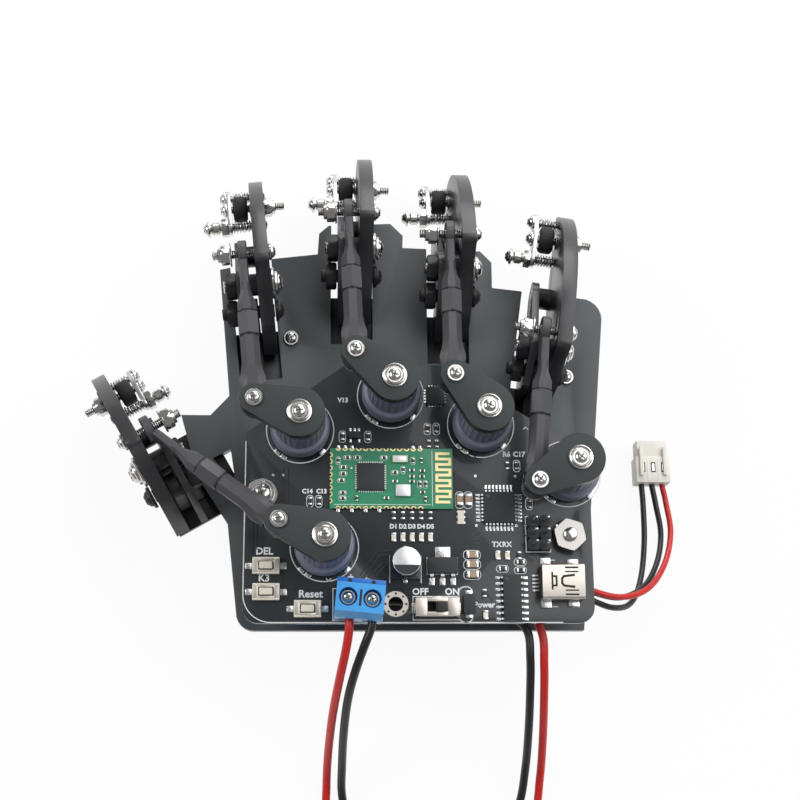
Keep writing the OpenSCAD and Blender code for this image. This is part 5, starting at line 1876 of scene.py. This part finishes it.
@dataclass
class SlideSwitch:
    """The power switch: a folded tin case, a slot painted near black as shade, and a stepped knob."""

    centre: Point = (3.6, -25.6)
    long: float = 9.4
    wide: float = 3.8
    tall: float = 3.4
    slot: Point = (4.3, 2.2)
    travel: float = 1.6
    key: Point = (2.4, 1.9)

    def case(self) -> None:
        """Build the case round its slot."""
        solid = Solid("switch_case")
        place = at(*self.centre, DECK)
        hx, hy, sx, sy, top = self.long / 2, self.wide / 2, self.slot[0] / 2, self.slot[1] / 2, self.tall
        for side in (-1, 1):
            solid.block((hx - sx, self.wide, top), (side * (hx + sx) / 2, 0, top / 2), SHELL, place, bevel=0.14)
            rail = (0, side * (hy + sy) / 2, top / 2)
            solid.block((2 * sx + 0.3, hy - sy, top - 0.01), rail, SHELL, place, bevel=0.05)
            solid.block((0.5, 1.8, 2.0), (side * (hx + 0.1), 0, 1.2), SHELL, place, bevel=0.12)
            solid.block((0.8, 2.2, 0.3), (side * (hx + 0.25), 0, 0.12), SOLDER, place, bevel=0.1)
            # Dark patches on the long sides paint the shade in the case's side openings.
            for edge in (-1, 1):
                solid.block((0.5, 0.16, 1.2), (side * (hx - 0.7), edge * hy, 0.7), SHADE_AND_BLACK_PLASTIC, place)
        solid.block((1.9, 0.5, 0.5), (-0.2, hy + 0.05, top - 0.4), SHELL, place, bevel=0.15)
        # The slot is painted near black as the shade inside the case.
        solid.block((self.slot[0], self.slot[1], 0.9), (0, 0, 0.5), SHADE_AND_BLACK_PLASTIC, place)
        solid.finish("base", "slide_switch")

    def knob(self) -> None:
        """Build the knob with a step and a worn top edge."""
        solid = Solid("switch_slider")
        mid = self.travel / 2
        place = at(self.centre[0] + mid, self.centre[1], DECK)
        solid.block((self.key[0], self.key[1], 3.0), (0, 0, 2.7), NYLON_BLACK, place, bevel=0.12)
        solid.block((self.key[0] * 0.82, self.key[1] * 0.9, 1.8), (0.12, 0, 4.86), NYLON_BLACK, place, bevel=0.22)
        for x in (-0.55, 0.05, 0.65):
            solid.block((0.16, self.key[1] * 0.8, 0.12), (0.12 + x, 0, 5.74), NYLON_BLACK, place, bevel=0.04)
        solid.finish("switch_knob", "switch_knob")

    def build(self) -> None:
        """Build the switch."""
        self.case()
        self.knob()


@dataclass
class TactButtons:
    """The three push buttons: moulded bases with solder tabs, and pressed caps."""

    centres: tuple[Point, ...] = ((-33.0, -16.6), (-32.9, -22.2), (-24.0, -25.8))
    bodies: tuple[str, ...] = ("delete_button", "mode_button", "reset_button")
    long: float = 5.8
    wide: float = 3.6
    tall: float = 1.5
    cap: Point = (2.8, 1.5)

    def base(self, solid: Solid, finish: Finish) -> None:
        """Build one base with the frame that holds its cap."""
        hx, hy = self.long / 2, self.wide / 2
        for side in (-1, 1):
            solid.block((hx - 1.6, self.wide, self.tall), (side * (hx + 1.6) / 2, 0, self.tall / 2), finish, bevel=0.14)
            solid.block((3.3, hy - 0.92, self.tall), (0, side * (hy + 0.92) / 2, self.tall / 2), finish, bevel=0.1)

    def plate(self, solid: Solid, finish: Finish) -> None:
        """Build the tin cover with its window."""
        for side in (-1, 1):
            solid.block((1.1, 2.7, 0.12), (side * 2.2, 0, self.tall + 0.03), finish, bevel=0.04)
            solid.block((3.4, 0.5, 0.12), (0, side * 1.2, self.tall + 0.03), finish, bevel=0.04)

    def build(self) -> None:
        """Build the bases and each cap on its own body."""
        solid = Solid("button_housings")
        places = [at(x, y, DECK) for x, y in self.centres]
        set_copies(solid, self.base, CREAM, places)
        set_copies(solid, self.plate, SHELL, places)
        for place in places:
            for side, bright in ((-1, SOLDER), (1, TIN)):
                solid.block((1.5, 1.4, 0.4), (side * (self.long / 2 + 0.8), 0, 0.2), bright, place, bevel=0.13)
            # A dark block paints the shade under each cap.
            solid.block((3.0, 1.7, 0.3), (0, 0, 0.35), SHADE_AND_BLACK_PLASTIC, place)
        solid.finish("base", "button_bases")
        for place, body in zip(places, self.bodies):
            cap = Solid(f"{body}_cap")
            cap.block((self.cap[0], self.cap[1], 1.2), (0, 0, self.tall + 0.1), CREAM, place, bevel=0.18)
            cap.finish(body, body)


# ---- the hand frame


@dataclass
class HandFrame:
    """The hand plate, its knuckle brackets, posts, battery and every screw that holds them."""

    plate_t: float = 3.0
    board_top: float = 16.6
    board_low: float = 15.0
    strap_screws: tuple[Point, ...] = ((-28.5, 38.8), (35.9, 30.0))
    washer_screw: Point = (-34.1, -0.8)
    nut_screw: Point = (32.8, -9.9)
    foot_back: float = -19.0
    foot_t: float = 3.0
    thumb_foot: Point = (9.8, 8.0)
    thumb_drop: float = 1.2
    knuckle_z: float = 12.5
    arch_out: float = 4.7
    cheek_out: float = -3.1
    play: float = 0.3
    battery_low: Triple = (-28.0, -28.0, 3.0)
    battery_size: Triple = (20.0, 48.0, 10.0)
    post_flats: float = 5.5

    def feet(self) -> list[Matrix]:
        """Return the place under each bracket's foot, facing down."""
        spots = []
        for digit in Digit:
            knuckle = digit.knuckle / MM
            across, back = self.thumb_foot if digit is Digit.THUMB else (0.0, self.foot_back)
            spin = Matrix.Rotation(digit.turn, 4, "Z")
            spot = spin @ Vector((across, back, 0))
            spots.append(UNIT @ move(knuckle.x + spot.x, knuckle.y + spot.y, -self.foot_t - 0.02) @ DOWN)
        return spots

    def plates(self) -> None:
        """Break the edges of the hand plate and the brackets."""
        up = Vector((0, 0, 1))
        dressed_copy("hand_plate", ACRYLIC_FACE, ACRYLIC_EDGE, up, "base", bevel=0.2 * MM)
        dressed_copy("knuckle_brackets", NYLON_BLACK, NYLON_BLACK, up, "base", bevel=0.15 * MM)

    def feet_and_slot_shade(self) -> None:
        """Build a long black plate under each bracket that closes its slot from below: partly the bracket's foot,
        partly a dark sheet painting the shade seen through the slot.
        """
        solid = Solid("bracket_foot_plates")
        low, high = -self.knuckle_z - self.foot_t + 0.02, -self.knuckle_z - 0.12
        spans: dict[Digit, list[tuple[float, float, float, float]]] = {
            Digit.THUMB: [(-10.3, 4.2, -8.0, 7.5)],
            Digit.INDEX: [(-5.4, 7.0, -24.0, -1.0)],
            Digit.MIDDLE: [(-5.4, 2.4, -24.0, -1.0), (2.3, 7.0, -12.0, -1.0)],
            Digit.RING: [(-5.4, 7.0, -24.0, -1.0)],
            Digit.LITTLE: [(-5.4, 7.0, -24.0, -1.0)],
        }
        for digit, boxes in spans.items():
            flip = Matrix.Diagonal((digit.side, 1, 1, 1))
            base = Matrix.Translation(digit.knuckle) @ Matrix.Rotation(digit.turn, 4, "Z") @ flip @ UNIT
            for x0, x1, u0, u1 in boxes:
                top = high - (self.thumb_drop if digit is Digit.THUMB else 0)
                size = (x1 - x0, u1 - u0, top - low)
                centre = ((x0 + x1) / 2, (u0 + u1) / 2, (low + top) / 2)
                solid.block(size, centre, ACRYLIC_BLACK, base, bevel=0.3)
        solid.finish("base")

    def fasteners(self) -> None:
        """Set every screw, washer and nut of the hand plate and the board."""
        solid = Solid("frame_screws")
        board = [self.washer_screw, self.nut_screw]
        seats = [at(x, y, -0.02) @ DOWN for x, y in board] + [at(*self.washer_screw, self.board_top + 0.62)]
        screws(solid, PanHead(2.75, 1.8), seats)
        screws(solid, PanHead(1.85, 1.4), [at(x, y, self.plate_t + 0.02) for x, y in self.strap_screws])
        screws(solid, M2_HEAD, self.feet())
        set_copies(solid, Washer(3.4, 1.52, 0.58).body, STEEL, [at(*self.washer_screw, self.board_top + 0.02)])
        board_nut = HexNut(6.4, 2.38, 1.52, chamfer=0.97)
        set_copies(solid, board_nut.body, NUT_STEEL, [at(*self.nut_screw, self.board_top + 0.02, 12)])
        set_copies(solid, M3_NUT.body, STEEL, [at(x, y, -2.42) for x, y in self.strap_screws])
        for x, y in self.strap_screws:
            threaded(solid, STEEL, M3_R, 6.1, at(x, y, -3))
        for x, y in board:
            threaded(solid, STEEL, M3_R, self.plate_t + 4, at(x, y, -0.1))
        threaded(solid, STEEL, M3_R, 6.0, at(*self.washer_screw, self.board_low - 4))
        threaded(solid, STEEL, M3_R, 8.6, at(*self.nut_screw, self.board_low - 4))
        dome = [(1.45, 0), (1.45, 0.25), (1.2, 0.42), (0, 0.46)]
        solid.lathe(dome, STEEL, at(*self.nut_screw, self.board_top + 3.0), 24)
        for foot in self.feet():
            threaded(solid, STEEL, M2_R, 5.2, foot @ DOWN)
        solid.finish("base", "machine_screws")

    def knuckle_bolts(self) -> None:
        """Build the nylon bolt and nut that each finger turns on."""
        solid = Solid("knuckle_bolts_dressed")
        nut_x = self.cheek_out - self.play
        for digit in Digit:
            base = digit.place() @ UNIT
            set_copies(solid, SLEEVE_HEAD.body, NYLON_BLACK, [base @ across_pin(self.arch_out + self.play)])
            # The bolt's recess is painted near black as shade.
            set_copies(solid, SLEEVE_HEAD.recess, SHADE_AND_BLACK_PLASTIC, [base @ across_pin(self.arch_out + self.play)])
            set_copies(solid, M3_NUT.body, NYLON_BLACK, [base @ across_pin(nut_x, (0.0, 0.0), -1)])
            end = self.arch_out - nut_x + 3.8
            shank = [(0, 0), (1.2, 0), (M3_R, 0.3), (M3_R, end), (0, end)]
            solid.lathe(shank, NYLON_BLACK, base @ across_pin(nut_x - 3.6), 28)
        solid.finish("base", "knuckle_bolts")

    def posts(self) -> None:
        """Turn the two hexagonal brass posts with their chamfered ends."""
        solid = Solid("brass_posts")
        tall = self.board_low - self.plate_t
        spots = [at(x, y, self.plate_t) for x, y in (self.washer_screw, self.nut_screw)]
        set_copies(solid, HexNut(self.post_flats, tall, 1.6).body, BRASS, spots)
        solid.finish("base", "standoffs")

    def battery(self) -> None:
        """Build the wrapped battery with its folded, sealed ends and a strip of tape."""
        solid = Solid("battery_pack")
        (x0, y0, z0), (w, d, h) = self.battery_low, self.battery_size
        mid = Vector((x0 + w / 2, 0, z0 + h / 2))
        rings = []
        for y, shrink, r in (
            (0.0, 1.5, 0.5), (0.15, 0.7, 1.0), (0.9, 0.15, 1.5),
            (2.5, 0.0, 1.8), (d / 2, 0.03, 1.8), (d - 2.5, 0.0, 1.8),
            (d - 0.9, 0.15, 1.5), (d - 0.15, 0.7, 1.0), (d, 1.5, 0.5),
        ):
            hx, hz = w / 2 - shrink - r, h / 2 - shrink * 0.6 - r
            rings.append([mid + Vector((cx, y0 + y, cz)) for cx, cz in rounded(hx, hz, r, 15)])
        solid.loft(rings, BATTERY_FILM, UNIT)
        for y in (3.2, d - 3.2):
            solid.block((w - 4, 1.6, 0.05), (mid.x, y0 + y, z0 + h + 0.01), LEAD_BLACK, UNIT, bevel=0.01)
        solid.finish("base", "battery")

    def sensor_bases(self) -> None:
        """Build the low rotary sensors on the board under the knobs, with their solder legs."""
        solid = Solid("sensor_housings")
        profile = [
            (2.06, 0.4), (2.06, 2.3), (2.3, 2.4), (4.4, 2.4), (4.6, 2.2), (4.85, 2.1), (5.0, 1.9), (5.0, 0.1), (4.9, 0.0),
            (0.0, 0.0), (0.0, 0.4),
        ]
        hubs = [digit.hub / MM for digit in Digit]
        set_copies(
            solid, lambda one, finish: one.lathe(profile, finish, steps=40), CHIP_RESIN,
            [at(hub.x, hub.y, self.board_top) for hub in hubs],
        )
        solid.finish("base", "sensor_bases")

    def build(self) -> None:
        """Build the whole hand frame."""
        self.plates()
        # Black plates under the slots, partly bracket feet and partly painted shade.
        self.feet_and_slot_shade()
        self.fasteners()
        self.knuckle_bolts()
        self.posts()
        self.battery()
        self.sensor_bases()


@dataclass
class BalancePlug:
    """The white three-way plug on the balance wires."""

    middle: Triple = (58.6, 12.7, -12.4)
    size: Triple = (8.3, 10.4, 5.4)
    pitch: float = 2.5

    def build(self) -> None:
        """Build the housing with its keys, windows and contacts."""
        solid = Solid("plug_housing")
        place = at(*self.middle)
        w, d, h = self.size
        solid.block((w, d * 0.62, h), (0, -d * 0.19, 0), WHITE_NYLON, place, bevel=0.35)
        solid.block((w - 0.9, d * 0.4, h - 0.9), (0, d * 0.3, 0), WHITE_NYLON, place, bevel=0.3)
        for side in (-1, 1):
            solid.block((0.9, d - 3.4, 0.8), (side * (w / 2 - 1.3), 0.0, h / 2 + 0.3), WHITE_NYLON, place, bevel=0.2)
        for x in (-self.pitch, 0, self.pitch):
            # Dark windows on top and holes at the back paint the shade inside the contact openings.
            solid.block((1.1, 2.4, 0.1), (x, -d * 0.14, h / 2), SHADE_AND_BLACK_PLASTIC, place)
            solid.block((0.6, 1.8, 0.1), (x, -d * 0.14, h / 2 + 0.02), TIN, place)
            solid.block((1.3, 0.1, 1.3), (x, d / 2, 0), SHADE_AND_BLACK_PLASTIC, place)
        for x in (-self.pitch / 2, self.pitch / 2):
            solid.block((0.35, d * 0.5, 0.12), (x, -d * 0.2, h / 2 + 0.02), WHITE_NYLON, place, bevel=0.03)
        solid.finish("base", "balance_plug")


# ---- build


def main() -> None:
    """Build the studio, the cords and every dressed sub-assembly, in that order."""
    logging.basicConfig(level=logging.INFO, format="%(name)s: %(message)s")
    Studio().build()
    Leads().build()
    for digit in Digit:
        FingerUnit(digit).build()
        unit = SensorUnit(digit)
        unit.knob()
        unit.arm()
        Rod(digit).build()
    parts = (
        HandFrame(), Board(), RadioModule(), Chips(), SmallParts(), UsbSocket(), ScrewTerminal(), SlideSwitch(),
        TactButtons(), BalancePlug(),
    )
    for piece in parts:
        piece.build()
        log.info("%s built", type(piece).__name__)
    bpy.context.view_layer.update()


if __name__ == "__main__":
    main()
